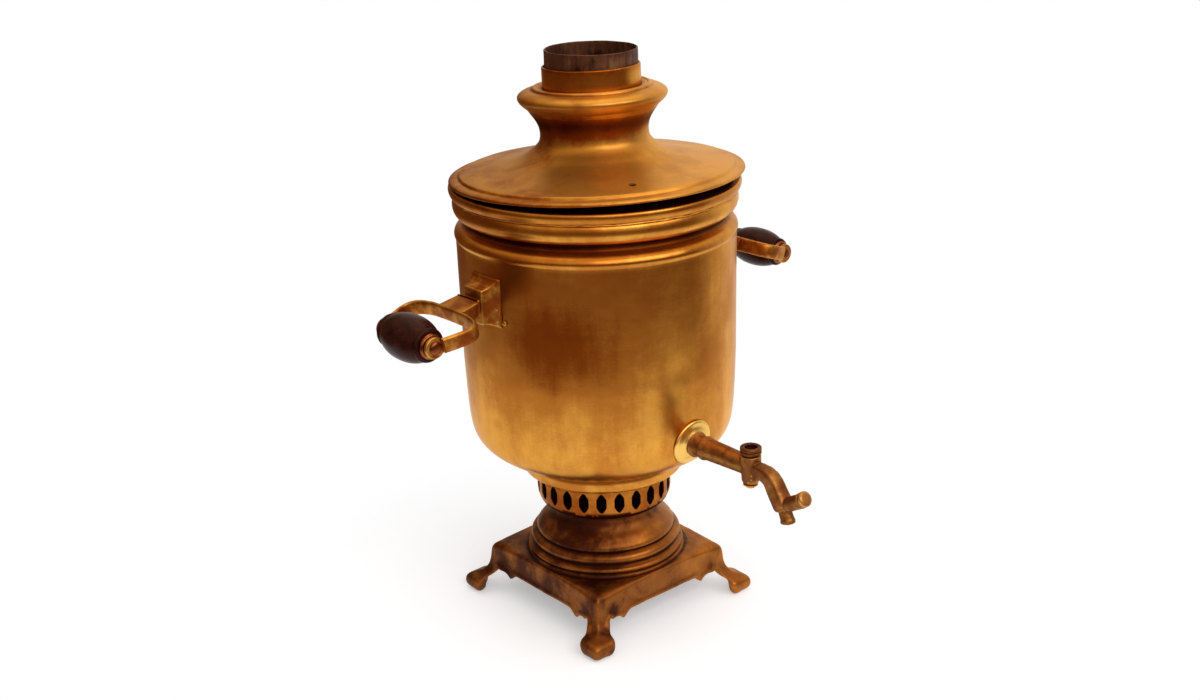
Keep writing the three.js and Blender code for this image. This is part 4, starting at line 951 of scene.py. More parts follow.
def plinth_mesh():
    """The square plinth with its four legs, plate and collar, as one closed casting."""
    outer, inner, faces, top = plinth_wedge()
    uses = {}
    for face in faces:
        for pair in zip(face, face[1:] + face[:1]):
            uses[frozenset(pair)] = uses.get(frozenset(pair), 0) + 1
    seams = {frozenset(pair) for pair in zip(top, top[1:])}
    # The edges on a side's middle and on the plane between two sides meet those of the next wedge
    rims = [tuple(pair) for pair, times in uses.items() if times == 1 and pair not in seams
            and not all(outer[i].x < 0.5 for i in pair)
            and not all(abs(outer[i].x + outer[i].y) < 0.5 for i in pair)]
    facing = [Vector((outer[i].x, outer[i].y, 0)).normalized() for i in top]
    lift = Vector((0, 0, 1))
    work = bmesh.new()
    for quarter in range(4):
        for mirror in (1, -1):
            turn = Matrix.Rotation(quarter * math.pi / 2, 4, "Z") @ Matrix.Diagonal((mirror, 1, 1, 1))
            out = [work.verts.new(turn @ p) for p in outer]
            back = [work.verts.new(turn @ p) for p in inner]
            for face in faces:
                work.faces.new([out[i] for i in face])
                work.faces.new([back[i] for i in reversed(face)])
            for a, b in rims:
                work.faces.new([out[a], out[b], back[b], back[a]])
            levels = [[out[i] for i in top]]
            levels += [[work.verts.new(turn @ (aim * radius + lift * height)) for aim in facing]
                       for radius, height in COLLAR]
            levels += [[work.verts.new(turn @ Vector((inner[i].x * 0.995, inner[i].y * 0.995, COLLAR_BOTTOM)))
                        for i in top], [back[i] for i in top]]
            for low, high in zip(levels, levels[1:]):
                for k in range(len(top) - 1):
                    work.faces.new([low[k], low[k + 1], high[k + 1], high[k]])
    bmesh.ops.remove_doubles(work, verts=work.verts, dist=0.02)
    return facing_out(made_of(work, "plinth"))


def deep_places(mesh, places):
    """Adds the grime_and_shade attribute, for grime and painted shade, to a mesh from (distance function,
    size, depth) places.
    """
    dirt_and_shade = mesh.attributes.new("grime_and_shade", "FLOAT", "POINT")
    for i, corner in enumerate(mesh.vertices):
        dirt_and_shade.data[i].value = max(depth * math.exp(-((reach(corner.co) / size) ** 2))
                                 for reach, size, depth in places)


class SAMOVAR_OT_base(bpy.types.Operator):
    """Cast plinth with its scalloped skirt, legs and hoof feet, and the ash pan that hangs in it"""
    bl_idname = "samovar.base"
    bl_label = "Base"

    def execute(self, context):
        mesh = worked(plinth_mesh(), ("SUBSURF", {"levels": 1, "render_levels": 1}))
        self.soften(mesh, FOOT_HEIGHT, 12)
        self.soften(mesh, math.inf, 4)
        swollen(mesh, 0.22, 9, 3)
        deep_places(mesh, [
            (lambda p: abs(math.hypot(p.x, p.y) - 62.2) + max(0, 41.6 - p.z), 1.3, 0.6),
            (lambda p: math.hypot(max(abs(p.x), abs(p.y)) - 66, min(abs(p.x), abs(p.y)) - 50, p.z - 25.5),
             5, 0.45)])
        add_piece("plinth_casting", mesh, "boiler", "cast", ["base_plinth"])
        pan = [(0, 29.8), (43.2, 29.8, 2), (48, 36.8, 1), (48, 43.8, 0.6), (53.8, 43.8), (53.8, 44.8),
               (47, 44.8, 0.6), (47, 36.8, 1), (42.4, 30.8, 2), (0, 30.8)]
        add_piece("ash_pan_pressing", turned(pan, facets=96), "boiler", "iron", ["ash_pan"])
        return {"FINISHED"}

    def soften(self, mesh, top, times):
        """Rounds the casting below a height, as worn moulds leave it. Its feet still stand on the floor."""
        work = bmesh.new()
        work.from_mesh(mesh)
        low = [corner for corner in work.verts if corner.co.z < top]
        for _ in range(times):
            bmesh.ops.smooth_vert(work, verts=low, factor=0.5, use_axis_x=True, use_axis_y=True,
                                  use_axis_z=True)
        least = min(corner.co.z for corner in work.verts)
        for corner in low:
            corner.co.z -= least * max(0, 1 - corner.co.z / FOOT_HEIGHT)
        work.to_mesh(mesh)
        work.free()


class SAMOVAR_OT_pedestal(bpy.types.Operator):
    """Hollow turned stem with its torus, groove and waist"""
    bl_idname = "samovar.pedestal"
    bl_label = "Pedestal"

    def execute(self, context):
        outer = [(58.9, 43.8, 0.5), *smooth([(59.9, 44.6), (60.3, 45.9), (59.6, 47.2), (58.2, 48)], 4),
                 (55.9, 49.6, 0.5), (56, 50.6, 0.3),
                 *smooth([(57, 51), (58, 52.8), (57.8, 54.6), (56.6, 56.3), (54.6, 57.4)], 4),
                 (52.6, 58.2, 0.3), (52.5, 58.9, 0.3), (53.5, 59.3, 0.3),
                 *smooth([(53.4, 60.5), (52.3, 62.8), (48.4, 67), (44.2, 70.6), (41.3, 74.4), (39.9, 78.4),
                          (39.4, 82.5)], 4)]
        bore = [(37.6, 82.5), (38.2, 77), *smooth([(41, 72), (45.7, 66), (50.2, 60.8)], 3), (50.3, 51.5),
                (54.2, 48.4), (54.2, 43.8)]
        # Grime in the grooves and at the foot; painted shade on the top of the stem, under the blower ring
        crevices = [(55.6, 49.8, 1.5, 0.95), (52.4, 58.4, 1.2, 0.95), (39.6, 82.5, 4, 0.8),
                    (60, 43.8, 1, 0.7), (41, 75, 5, 0.3)]
        mesh = turned([*outer, *bore], crevices, step=1.6)
        add_piece("pedestal_turning", swollen(mesh, 0.15, 14, 5), "boiler", "cast",
                  ["pedestal"])
        return {"FINISHED"}


class SAMOVAR_OT_blower(bpy.types.Operator):
    """Perforated ring that lets the draught in under the body"""
    bl_idname = "samovar.blower"
    bl_label = "Blower ring"

    def execute(self, context):
        shape = context.scene.samovar_shape
        length, middle, wall, radius = 16.2, 98, 1.6, 51.6
        bottom, top = middle - length / 2, middle + length / 2
        heights = [bottom + length * k / 26 for k in range(27)]
        flare = [(82.8, 46.4), (85.1, 49.3), (89, 51), (94.1, radius), (108.8, radius)]
        band = [(*between(flare, z), z, 0) for z in heights]
        outer = [(38, 82.8, 0.3), (45.9, 82.8, 0.6), *smooth([(47.6, 83.3), (49.3, 85.1), (50.4, 87.4)], 3),
                 *band, (radius, 108, 0.5), (53.2, 109.4, 0.6), (57.8, 110.2, 0.4),
                 *smooth([(59.8, 110.9), (61.2, 112.2), (62, 114.6), (62.3, 118), (61.9, 120.4)], 4),
                 (61.6, 121.7, 0.5)]
        inner = [(60, 121.7, 0.5), *smooth([(60.4, 118), (60, 114.8), (58.6, 112.6)], 3), (53.2, 111.2, 0.5),
                 (50, 109.4, 0.5), *[(r - wall, z, 0) for r, z, _ in reversed(band)],
                 *smooth([(48.8, 87.6), (47.8, 85.8), (46.4, 84.6)], 2), (38, 84.4, 0.3)]
        line = rounded([*outer, *inner], 0.45)
        half_turn = math.pi / shape.slots
        columns = 4
        work = bmesh.new()
        in_band = [bottom - 1e-6 <= p.y <= top + 1e-6 and 48 < p.x < 52 for p in line]

        def slot_angle(point):
            near = 1 - abs(point.y - middle) / (length / 2)
            return shape.slot_width / 2 * min(1, max(0, near) / 0.62) ** 0.6 / radius

        starts = [slot_angle(point) if slotted else 0 for point, slotted in zip(line, in_band)]
        for side in (1, -1):
            grid = []
            for point, start in zip(line, starts):
                angles = [side * (start + (half_turn - start) * k / columns) for k in range(columns + 1)]
                grid.append([work.verts.new((point.x * math.cos(a), point.x * math.sin(a), point.y))
                             for a in angles])
            for low, high in zip(grid, grid[1:] + grid[:1]):
                for k in range(columns):
                    work.faces.new([low[k], low[k + 1], high[k + 1], high[k]])
            # The slot's own walls join the outer face to the inner one at the same height
            rising = sorted((i for i, slotted in enumerate(in_band) if slotted), key=lambda i: line[i].y)
            near, far = ([i for i in rising if (line[i].x > 50.2) == outside] for outside in (True, False))
            for a, b, c, d in zip(near, near[1:], far[1:], far):
                work.faces.new([grid[a][0], grid[b][0], grid[c][0], grid[d][0]])
        mesh = run_tree(repeating_tree, made_of(work, "wedge"), count=shape.slots, phase=math.radians(2),
                        material=finish("ring"))
        facing_out(mesh, 0.01)
        # Grime in the fold and at the seam, the inside painted nearly black (soot and painted shade), and the
        # perforated band a darker tone
        dirt_and_shade = mesh.attributes.new("grime_and_shade", "FLOAT", "POINT")
        for i, corner in enumerate(mesh.vertices):
            reach, height = math.hypot(corner.co.x, corner.co.y), corner.co.z
            fold = 0.55 * math.exp(-(math.hypot(reach - 53, height - 109) / 1.8) ** 2)
            within = 0.95 if reach < 50.4 and height > 84 else 0
            seam = 0.6 * math.exp(-((height - 121.9) / 0.9) ** 2)
            band_tone = 0.46 if height < 108.6 else 0
            dirt_and_shade.data[i].value = max(fold, within, seam, band_tone)
        add_piece("blower_ring_turning", mesh, "boiler", "ring", ["blower_ring"], sharp=34)
        return {"FINISHED"}


SOLDER_FACETS = 360
# Azimuth in degrees, height and size in millimetres, and share of the full depth
DENTS = [(-66, 262, 8, 1), (-70, 243, 7, 0.8), (-62, 228, 9, 0.6), (-97, 214, 13, 0.6), (-158, 196, 12, 0.5),
         (-171, 150, 9, 0.6), (58, 238, 12, 0.9), (95, 180, 14, 0.8), (12, 206, 10, 0.7), (139, 258, 9, 0.6)]


class SAMOVAR_OT_body(bpy.types.Operator):
    """Body shell, rim band, rim ring and the solder line between them"""
    bl_idname = "samovar.body"
    bl_label = "Body and rim"

    def execute(self, context):
        shape = context.scene.samovar_shape
        outer = [*smooth([(47.8, 121.6), (54, 121.6), *BOWL], 6)[6:], *WALL, *smooth(SHOULDER, 4)]
        outer = [(47.8, 121.8, 0.2), (54, 121.8, 0), *outer]
        # Painted shade in the throat under the overhanging rim band; the last place is grime at the joint with
        # the blower ring
        crevices = [(94.6, 309, 4.6, 0.85), (96.2, 306.3, 2.2, 0.6), (61.5, 121.8, 1.6, 0.5)]
        mesh = turned([*outer, *inside(outer, 1.2)], crevices, step=3.2)
        swollen(mesh, shape.unevenness, 30, 1, lambda p: 1 if p.z < 291 else 0.35)
        swollen(mesh, shape.unevenness * 1.3, 75, 2, lambda p: 1 if p.z < 291 else 0.2)
        self.dent(mesh, shape.dents)
        hole = on_tap_axis(bar(7.3, 80, 112, 48))
        add_piece("body_spinning", cut_away(mesh, hole), "boiler", "spun", ["body_shell"])
        curve = [(96.6, 311.1), (99.8, 312.4), (102.3, 314.9), (103.5, 318), (103.7, 321), (103.2, 323.6),
                 (102.6, 325)]
        band = [(94.8, 310.3, 0.3), *smooth(curve, 5), (102.6, 326, 0.3)]
        # Painted shade where the band turns in over the throat, and grime at the solder seam
        crevices = [(95.2, 310.6, 3.6, 0.8), (103, 326.2, 1.1, 0.75)]
        mesh = turned([*band, *inside(band, 1.6)], crevices, step=1.6)
        add_piece("rim_band_turning", swollen(mesh, 0.14, 24, 7), "boiler", "ring",
                  ["rim_band"])
        curve = [(104, 326.9), (105, 328.2), (105.7, 330.2), (105.9, 332), (105.6, 333.4)]
        ring = [(102.8, 326.3, 0.3), *smooth(curve, 4), (104.7, 334.4, 0.4), (100.5, RIM_TOP, 0.6),
                (100.5, 332.9, 0.5), (101.2, 329.7, 0.6), (101.2, 326.3, 0.3)]
        # Grime at the solder seam, and painted shade inside the ring's mouth, in the gap under the lid
        crevices = [(103, 326.3, 1.1, 0.75), (99.6, 331.5, 4.6, 1)]
        mesh = turned(ring, crevices, step=1.6)
        add_piece("rim_ring_turning", swollen(mesh, 0.12, 26, 8), "boiler", "ring",
                  ["rim_ring"])
        self.build_solder(shape)
        return {"FINISHED"}

    def build_solder(self, shape):
        """The solder line, a thin bead that wanders up and down round the seam."""
        sections = []
        for k in range(SOLDER_FACETS):
            angle = FULL_TURN * k / SOLDER_FACETS
            facing = Vector((math.cos(angle), math.sin(angle), 0))
            rough = noise.noise(facing * 9) + 0.5 * noise.noise(facing * 31)
            middle = facing * 103 + Vector((0, 0, 326.2 + shape.solder_wave * rough))
            size = 0.85 + 0.35 * noise.noise(facing * 22)
            sections.append([middle + facing * size * math.cos(a) + Vector((0, 0, size * 0.8 * math.sin(a)))
                             for a in (FULL_TURN * m / 8 for m in range(8))])
        mesh = facing_out(skin([*sections, sections[0]], caps=False), 0.001)
        deep_places(mesh, [(lambda p: p.z - 325, 0.7, 0.8)])
        add_piece("rim_solder_line", mesh, "boiler", "dry", [])

    def dent(self, mesh, depth):
        """Knocks the small dents into the wall."""
        for azimuth, height, size, share in DENTS:
            angle = math.radians(azimuth)
            middle = Vector((BODY_RADIUS * math.cos(angle), BODY_RADIUS * math.sin(angle), height))
            for corner in mesh.vertices:
                away = (corner.co - middle).length
                if away < 3 * size:
                    push = depth * share * math.exp(-((away / size) ** 2))
                    facing = Vector((corner.co.x, corner.co.y, 0)).normalized()
                    corner.co -= facing * push


class SAMOVAR_OT_fire_tube(bpy.types.Operator):
    """Fire tube, grate and the iron flue stub"""
    bl_idname = "samovar.fire_tube"
    bl_label = "Fire tube and flue"

    def execute(self, context):
        shape = context.scene.samovar_shape
        tube = [(41, 112), (47, 112, 1), (47, 165, 8), (31.9, 245, 8), (31.9, 396), (30.4, 396),
                (30.4, 245, 8), (45.5, 165, 8), (45.5, 113.5, 1), (41, 113.5)]
        add_piece("fire_tube_brazing", turned(tube, facets=96, step=12), "boiler", "dry",
                  ["fire_tube"])
        dress_node("grate", "iron")
        sleeve = [(32.2, 378), (33.2, 378), (33.2, 426.6, 0.3), (33.0, 427, 0.2), (32.2, 427, 0.2)]
        mesh = turned(sleeve, facets=240, step=1.5, reach=0.2)
        for corner in mesh.vertices:
            radius = math.hypot(corner.co.x, corner.co.y)
            angle = math.atan2(corner.co.y, corner.co.x)
            rise = min(1, max(0, (corner.co.z - 410) / 6)) * min(1, max(0, (428.2 - corner.co.z) / 2.4))
            fold = abs(math.sin(angle * shape.crimps / 2 + 0.8 * noise.noise(Vector((angle * 2, 0, 0)))))
            depth = 0.55 * rise * (1 - fold ** 0.35)
            corner.co *= Vector((1 - depth / radius, 1 - depth / radius, 1))
        swollen(mesh, 0.3, 16, 9, lambda p: min(1, max(0, (p.z - 405) / 15)))
        add_piece("flue_sleeve", mesh, "boiler", "iron", ["flue_stub"])
        return {"FINISHED"}


def lid_place():
    """The matrix that tilts the lid and keeps its collar centred on the flue."""
    axis = Vector((math.cos(LID_TILT_AZIMUTH), math.sin(LID_TILT_AZIMUTH), 0))
    tilt = Matrix.Rotation(-LID_TILT, 4, axis)
    offset = tilt @ Vector((0, 0, -LID_CENTRING))
    height = RIM_TOP + SEAT_GAP + LID_RADIUS * math.sin(LID_TILT)
    return Matrix.Translation((offset.x, offset.y, height)) @ tilt


class SAMOVAR_OT_lid(bpy.types.Operator):
    """Lid plate with its neck, the bulge ring, the collar round the flue and the skirt in the mouth"""
    bl_idname = "samovar.lid"
    bl_label = "Lid"

    def execute(self, context):
        shape = context.scene.samovar_shape
        place = lid_place()
        plate = [(106.2, 0.1, 0.4), (106.8, 1.0, 0.5), (106.2, 2.3, 0.6),
                 *smooth([(104.4, 2.9), (102, 3.2), (99.8, 3.5)], 3), (99.2, 4.4, 0.6), (98.6, 5.3, 0.7),
                 *smooth([(96.5, 5.75), (88, 7.1), (79.8, 8.4), (70, 10.2), (60.1, 12.4), (52.5, 15.2),
                          (47.2, 18.4), (42.6, 21.9), (39.9, 25.4), (39, 29.2), (39, 32.6), (39.9, 36.9),
                          (42, 41.4), (LID_SEAM_RADIUS, 46.4)], 4)]
        # Painted shade: the neck darkened under the bulge ring and the rim's underside darkened over the gap;
        # a little grime at the step
        crevices = [(99.3, 3.9, 0.9, 0.2), (42, 40, 11, 0.72), (105, -1, 2.6, 0.9)]
        mesh = turned([*plate, *inside(plate, LID_WALL)], crevices, step=3.2)
        swollen(mesh, shape.unevenness * 1.2, 26, 11, lambda p: 1 if p.z > 2 else 0.4)
        azimuth = math.radians(-113.5)
        hole = moved(bar(2.6, 0, 30), Matrix.Translation((83 * math.cos(azimuth), 83 * math.sin(azimuth), 0)))
        add_piece("lid_spinning", cut_away(mesh, hole), "lid", "dry", ["lid_plate"], place)
        low, rise = LID_SEAM_RISE + SEAT_GAP, 17.2
        swell = [(47.4, 0.13), (49.8, 0.24), (52.2, 0.38), (53.5, 0.53), (53, 0.67), (50.6, 0.78),
                 (47.4, 0.85), (44, 0.885)]
        lip = [(43.1, 0.9, 0.3), (42.7, 0.96, 0.5), (41.7, 1, 0.6), (40.2, 1, 0.6), (39.4, 0.955, 0.6),
               (35.5, 0.94, 0.2)]
        bulge = [(45.3, low - 0.8, 0.1), (46, low + 0.2, 0.3),
                 *smooth([(r, low + share * rise) for r, share in swell], 4),
                 *[(r, low + share * rise, reach) for r, share, reach in lip]]
        crevices = [(43.2, low + 0.89 * rise, 0.9, 0.4), (36, low + 0.94 * rise, 1.8, 0.5),
                    (45.6, low, 3, 0.3)]
        mesh = turned([*bulge, *inside(bulge, LID_WALL)], crevices, step=1.6)
        swollen(mesh, shape.unevenness, 22, 12)
        add_piece("lid_neck_ring_spinning", mesh, "lid", "dry", ["lid_neck_ring"], place)
        collar = [(34.3, 57.4), (35.2, 57.4), (35.2, 77.3, 0.4), (34.8, 77.9, 0.3), (33.8, 78, 0.2),
                  (33.8, 77.2, 0.2), (34.3, 76, 0.3)]
        crevices = [(35.2, 80, 5.5, 0.5), (35.2, 62, 2.4, 0.5)]
        mesh = turned(collar, crevices, step=1.4, reach=0.25)
        swollen(mesh, 0.3, 20, 13, lambda p: min(1, max(0, (p.z - 60) / 10)))
        add_piece("lid_collar_band", mesh, "lid", "ring", ["lid_collar"], place)
        # Painted shade: the whole skirt takes the darkest value, nearly black, for the shade in the gap
        # between the lid and the rim
        skirt = [(96.4, -13, 0.3), (97.6, -13, 0.3), (97.6, 2.3), (96.4, 2.3)]
        mesh = turned(skirt, [(97.6, -4, 20, 1)], step=4)
        add_piece("lid_skirt_band", mesh, "lid", "steamed_and_shaded", ["lid_skirt"], place)
        return {"FINISHED"}


def tap_plane(reach, height, across=0.0):
    """A point of the tap's own plane, by its reach from the axis and its height."""
    return Vector((across, -reach, height))


def tap_bar(line, widths, depths, square=2.6, count=28):
    """A bar through (reach, height) points, with rounded rectangular sections of half widths and depths."""
    sections = []
    for i, (reach, height) in enumerate(line):
        before, after = line[max(i - 1, 0)], line[min(i + 1, len(line) - 1)]
        along = Vector((after[0] - before[0], after[1] - before[1])).normalized()
        section = []
        for k in range(count):
            angle = FULL_TURN * (k + 0.5) / count
            c, s = math.cos(angle), math.sin(angle)
            side = widths[i] * math.copysign(abs(c) ** (2 / square), c)
            up = depths[i] * math.copysign(abs(s) ** (2 / square), s)
            section.append(tap_plane(reach - along.y * up, height + along.x * up, side))
        sections.append(section)
    return skin(sections)


class SAMOVAR_OT_tap(bpy.types.Operator):
    """Rosette, cast tap body and spout plug, with the gasket and nut inside the wall"""
    bl_idname = "samovar.tap"
    bl_label = "Tap"

    def execute(self, context):
        shape = context.scene.samovar_shape
        small = shape.small_facets
        # Heights here are the sheet's distance from the wall. The dish is then bent to the bowl's curve.
        disc = [(7.4, 2.6, 0.2), (10.2, 1.6, 0.4), (12.6, 0.5, 0.5), (16.2, 0.35, 0.4), (17.1, 0.3, 0.2),
                (17.4, 0.7, 0.3), (17.3, 1.5, 0.4), (16.7, 2.1, 0.4),
                *smooth([(15.8, 2.3), (13.8, 2.3), (12, 2.5), (10.6, 3.1)], 3), (9.2, 3.9, 0.4),
                (7.4, 3.9, 0.2)]
        mesh = turned(disc, [(7.6, 4, 1.2, 0.5), (17.6, 0.2, 0.8, 0.7)], facets=96, step=0.8)
        for corner in mesh.vertices:
            across, up = corner.co.x, corner.co.y
            wall = math.sqrt(body_radius(TAP_HEIGHT + up) ** 2 - across ** 2)
            corner.co = (across, -wall - corner.co.z, TAP_HEIGHT + up)
        facing_out(mesh)
        add_piece("rosette_pressing", mesh, "boiler", "polished", ["tap_rosette"])
        start, joint = (HOUSING_REACH, 156.5), (187.3, 137.5)
        stub = (204.6, 148.0)
        shank = [(0, 84), (7, 84), (7, 103.4), (9.6, 103.4, 0.5), (9.6, 104.4, 0.5),
                 *smooth([(8.8, 105.4), (8, 107.2), (7.7, 109.6), (7.9, 111.6)], 2), (8.7, 112.2, 0.5),
                 (9, 113.6, 0.5), (8.5, 114.8, 0.6), (7.9, 117, 0), (6.9, 153, 0), (0, HOUSING_REACH)]
        core = on_tap_axis(turned(shank, facets=small, step=3))
        cone = [(0, 144.6), (5.2, 144.6, 0.6), (6.1, 146.3, 0.8), (7, 157, 1), (7.3, 161.3, 0.6),
                (7.3, 165.5, 0.5), (0, 165.5)]
        housing = moved(turned(cone, facets=small, step=3), Matrix.Translation((0, -HOUSING_REACH, 0)))
        bend = [start, (166, 156.3), (171.5, 155.4), (175.6, 153.6), (178.4, 150.8), (181.4, 146), joint,
                (188.6, 134.9)]
        spout = tap_bar(bend, [4.6, 5, 5.4, 5.7, 5.9, 6.1, 6.3, 5.6],
                        [4.4, 5.1, 5.5, 5.8, 5.9, 6.1, 6.2, 5.2], 3.6)
        nozzle = [joint, (189.8, 131.6), (190.9, 129), (191.3, 128.2), (191.6, 126.2)]
        spigot = tap_bar(nozzle, *[[4.7, 4.7, 4.8, 5.2, 5.2]] * 2, 2)
        branch = tap_bar([joint, (203, 146.3), (203.8, 147.2), stub], *[[5.1, 5.3, 5.5, 5.4]] * 2, 2)
        casting = cast([core, housing, spout, spigot, branch], shape.cast_voxel, 4)
        waterway = tap_bar([(184.5, 143.5), joint, (190.9, 129.6), (191.8, 123)], [3.6] * 4, [3.6] * 4, 2, 32)
        taper = [(0, 142), (4.3, 142), (4.35, 144.6), (5.75, 165.5), (5.8, 168), (0, 168)]
        keyway = moved(turned(taper, facets=48, step=30), Matrix.Translation((0, -HOUSING_REACH, 0)))
        inlet = on_tap_axis(bar(3.6, 82, 150))
        post_way = tap_bar([(197, 143.5), (206.5, 149.2)], [3.3, 3.3], [3.3, 3.3], 2, 24)
        casting = cut_away(casting, keyway, waterway, inlet, post_way)
        swollen(casting, 0.1, 4, 15)
        add_piece("tap_casting", casting, "boiler", "tap", ["tap_body"], sharp=48)
        along = (Vector(stub) - Vector(joint)).normalized()

        def at(distance):
            return tuple(Vector(stub) + along * distance)

        plug = tap_bar([at(reach) for reach in (-6, 0.3, 0.32, 0.9, 2.5, 3.1, 3.4)],
                       *[[3, 3, 5, 5.45, 5.4, 4.9, 3.6]] * 2, 2, 40)
        add_piece("spout_plug_turning", plug, "boiler", "tap", ["spout_plug"])
        dress_node("tap_gasket", "leather")
        dress_node("tap_nut", "dry")
        return {"FINISHED"}


class SAMOVAR_OT_key(bpy.types.Operator):
    """Tapered key of the tap, with its socket head, washer and screw"""
    bl_idname = "samovar.key"
    bl_label = "Tap key"

    def execute(self, context):
        small = context.scene.samovar_shape.small_facets
        place = Matrix.Translation((0, -HOUSING_REACH, 0))
        key = [(0, 147.6), (2.3, 147.6), (2.3, 144.3), (4, 144.3, 0.3), (4.05, 144.7), (5.4, 165.5),
               (5.4, 165.9, 0.1), (6.7, 165.9, 0.3), (6.7, 166.7, 0.3), (7.5, 167.1, 0.4), (7.5, 168.3, 0.3),
               (7.15, 168.7, 0.2), (7.15, 169.1, 0.2), (7.5, 169.5, 0.3), (7.5, 171, 0.6), (7, 171.6, 0.4),
               (4.9, 171.6, 0.4), (4.4, 171.1, 0.3), (4.3, 168.6, 0.4), (0, 168.4)]
        # Grime in the head's grooves, painted shade inside the socket, and the whole head a little darker
        crevices = [(6.9, 166.3, 0.7, 0.8), (7.1, 168.9, 0.6, 0.7), (2.5, 168.4, 3.4, 0.95),
                    (7.5, 168, 9, 0.42)]
        mesh = turned(key, crevices, facets=small, step=1.2, reach=0.25)
        across = Matrix.Translation((0, 0, 156.5)) @ Matrix.Rotation(math.pi / 2, 4, "Y")
        port = moved(bar(3.2, -12, 12), across)
        add_piece("tap_key_turning", cut_away(mesh, port), "key", "tap", ["tap_key"], place)
        washer = [(2.3, 143), (5.2, 143, 0.2), (5.2, 144, 0.2), (2.3, 144)]
        add_piece("tap_key_washer_turning", turned(washer, facets=small, reach=0.15), "key",
                  "dry", ["tap_key_washer"], place)
        screw = [(0, 141.1), (2.8, 141.1, 0.4), (3.6, 141.9, 0.4), (3.6, 142.7, 0.2), (2, 142.7), (2, 147.3),
                 (0, 147.3)]
        mesh = turned(screw, facets=small, reach=0.2)
        blade = slab([(-5, -0.4), (5, -0.4), (5, 0.4), (-5, 0.4)], (140, 141.7))
        add_piece("tap_key_screw_turning", cut_away(mesh, blade), "key", "dry",
                  ["tap_key_screw"], place)
        return {"FINISHED"}


def handle_place(name):
    """The matrix of a handle's own grip: X runs away from the wall and Y along the grip."""
    shape = HANDLES[name]
    return Matrix.Rotation(shape["half"], 4, "Z") @ Matrix.Translation((shape["reach"], 0, shape["height"]))


def loop_half(steps=6):
    """The outer line of half the loop, from its eye back to the arm, in (back, out) points."""
    shares = [(0, 30.2), (5.9, 33.8), (13.3, 36.5), (22.1, 38.7), (29.5, 37.2), (34.3, 31), (36.9, 20.2)]
    return [Vector(p[:2]) for p in smooth(shares, steps)]


def loop_strip():
    """The horseshoe strip as a sweep of a crowned section, from one eye round to the other."""
    half = loop_half()
    line = [Vector((p.x, -p.y)) for p in half] + [Vector((36.9 + 0.6 * math.cos(k), 20.2 * k / 1.5)) for k in
                                                  (-0.9, -0.3, 0.3, 0.9)] + half[::-1]
    sections = []
    for i, point in enumerate(line):
        along = (line[min(i + 1, len(line) - 1)] - line[max(i - 1, 0)]).normalized()
        away = Vector((along.y, -along.x))
        height = 11.0 if point.x > 6 else 11 + 2.6 * (1 - point.x / 6)
        section = []
        for k in range(20):
            angle = FULL_TURN * k / 20
            c, s = math.cos(angle), math.sin(angle)
            up = height / 2 * math.copysign(abs(s) ** 0.62, s)
            out = 1.5 * math.copysign(abs(c) ** 0.7, c) - 1.5 + (0.55 * c if c > 0 else 0)
            spot = point + away * out
            section.append(Vector((spot.x, spot.y, up)))
        sections.append(section)
    return skin(sections)


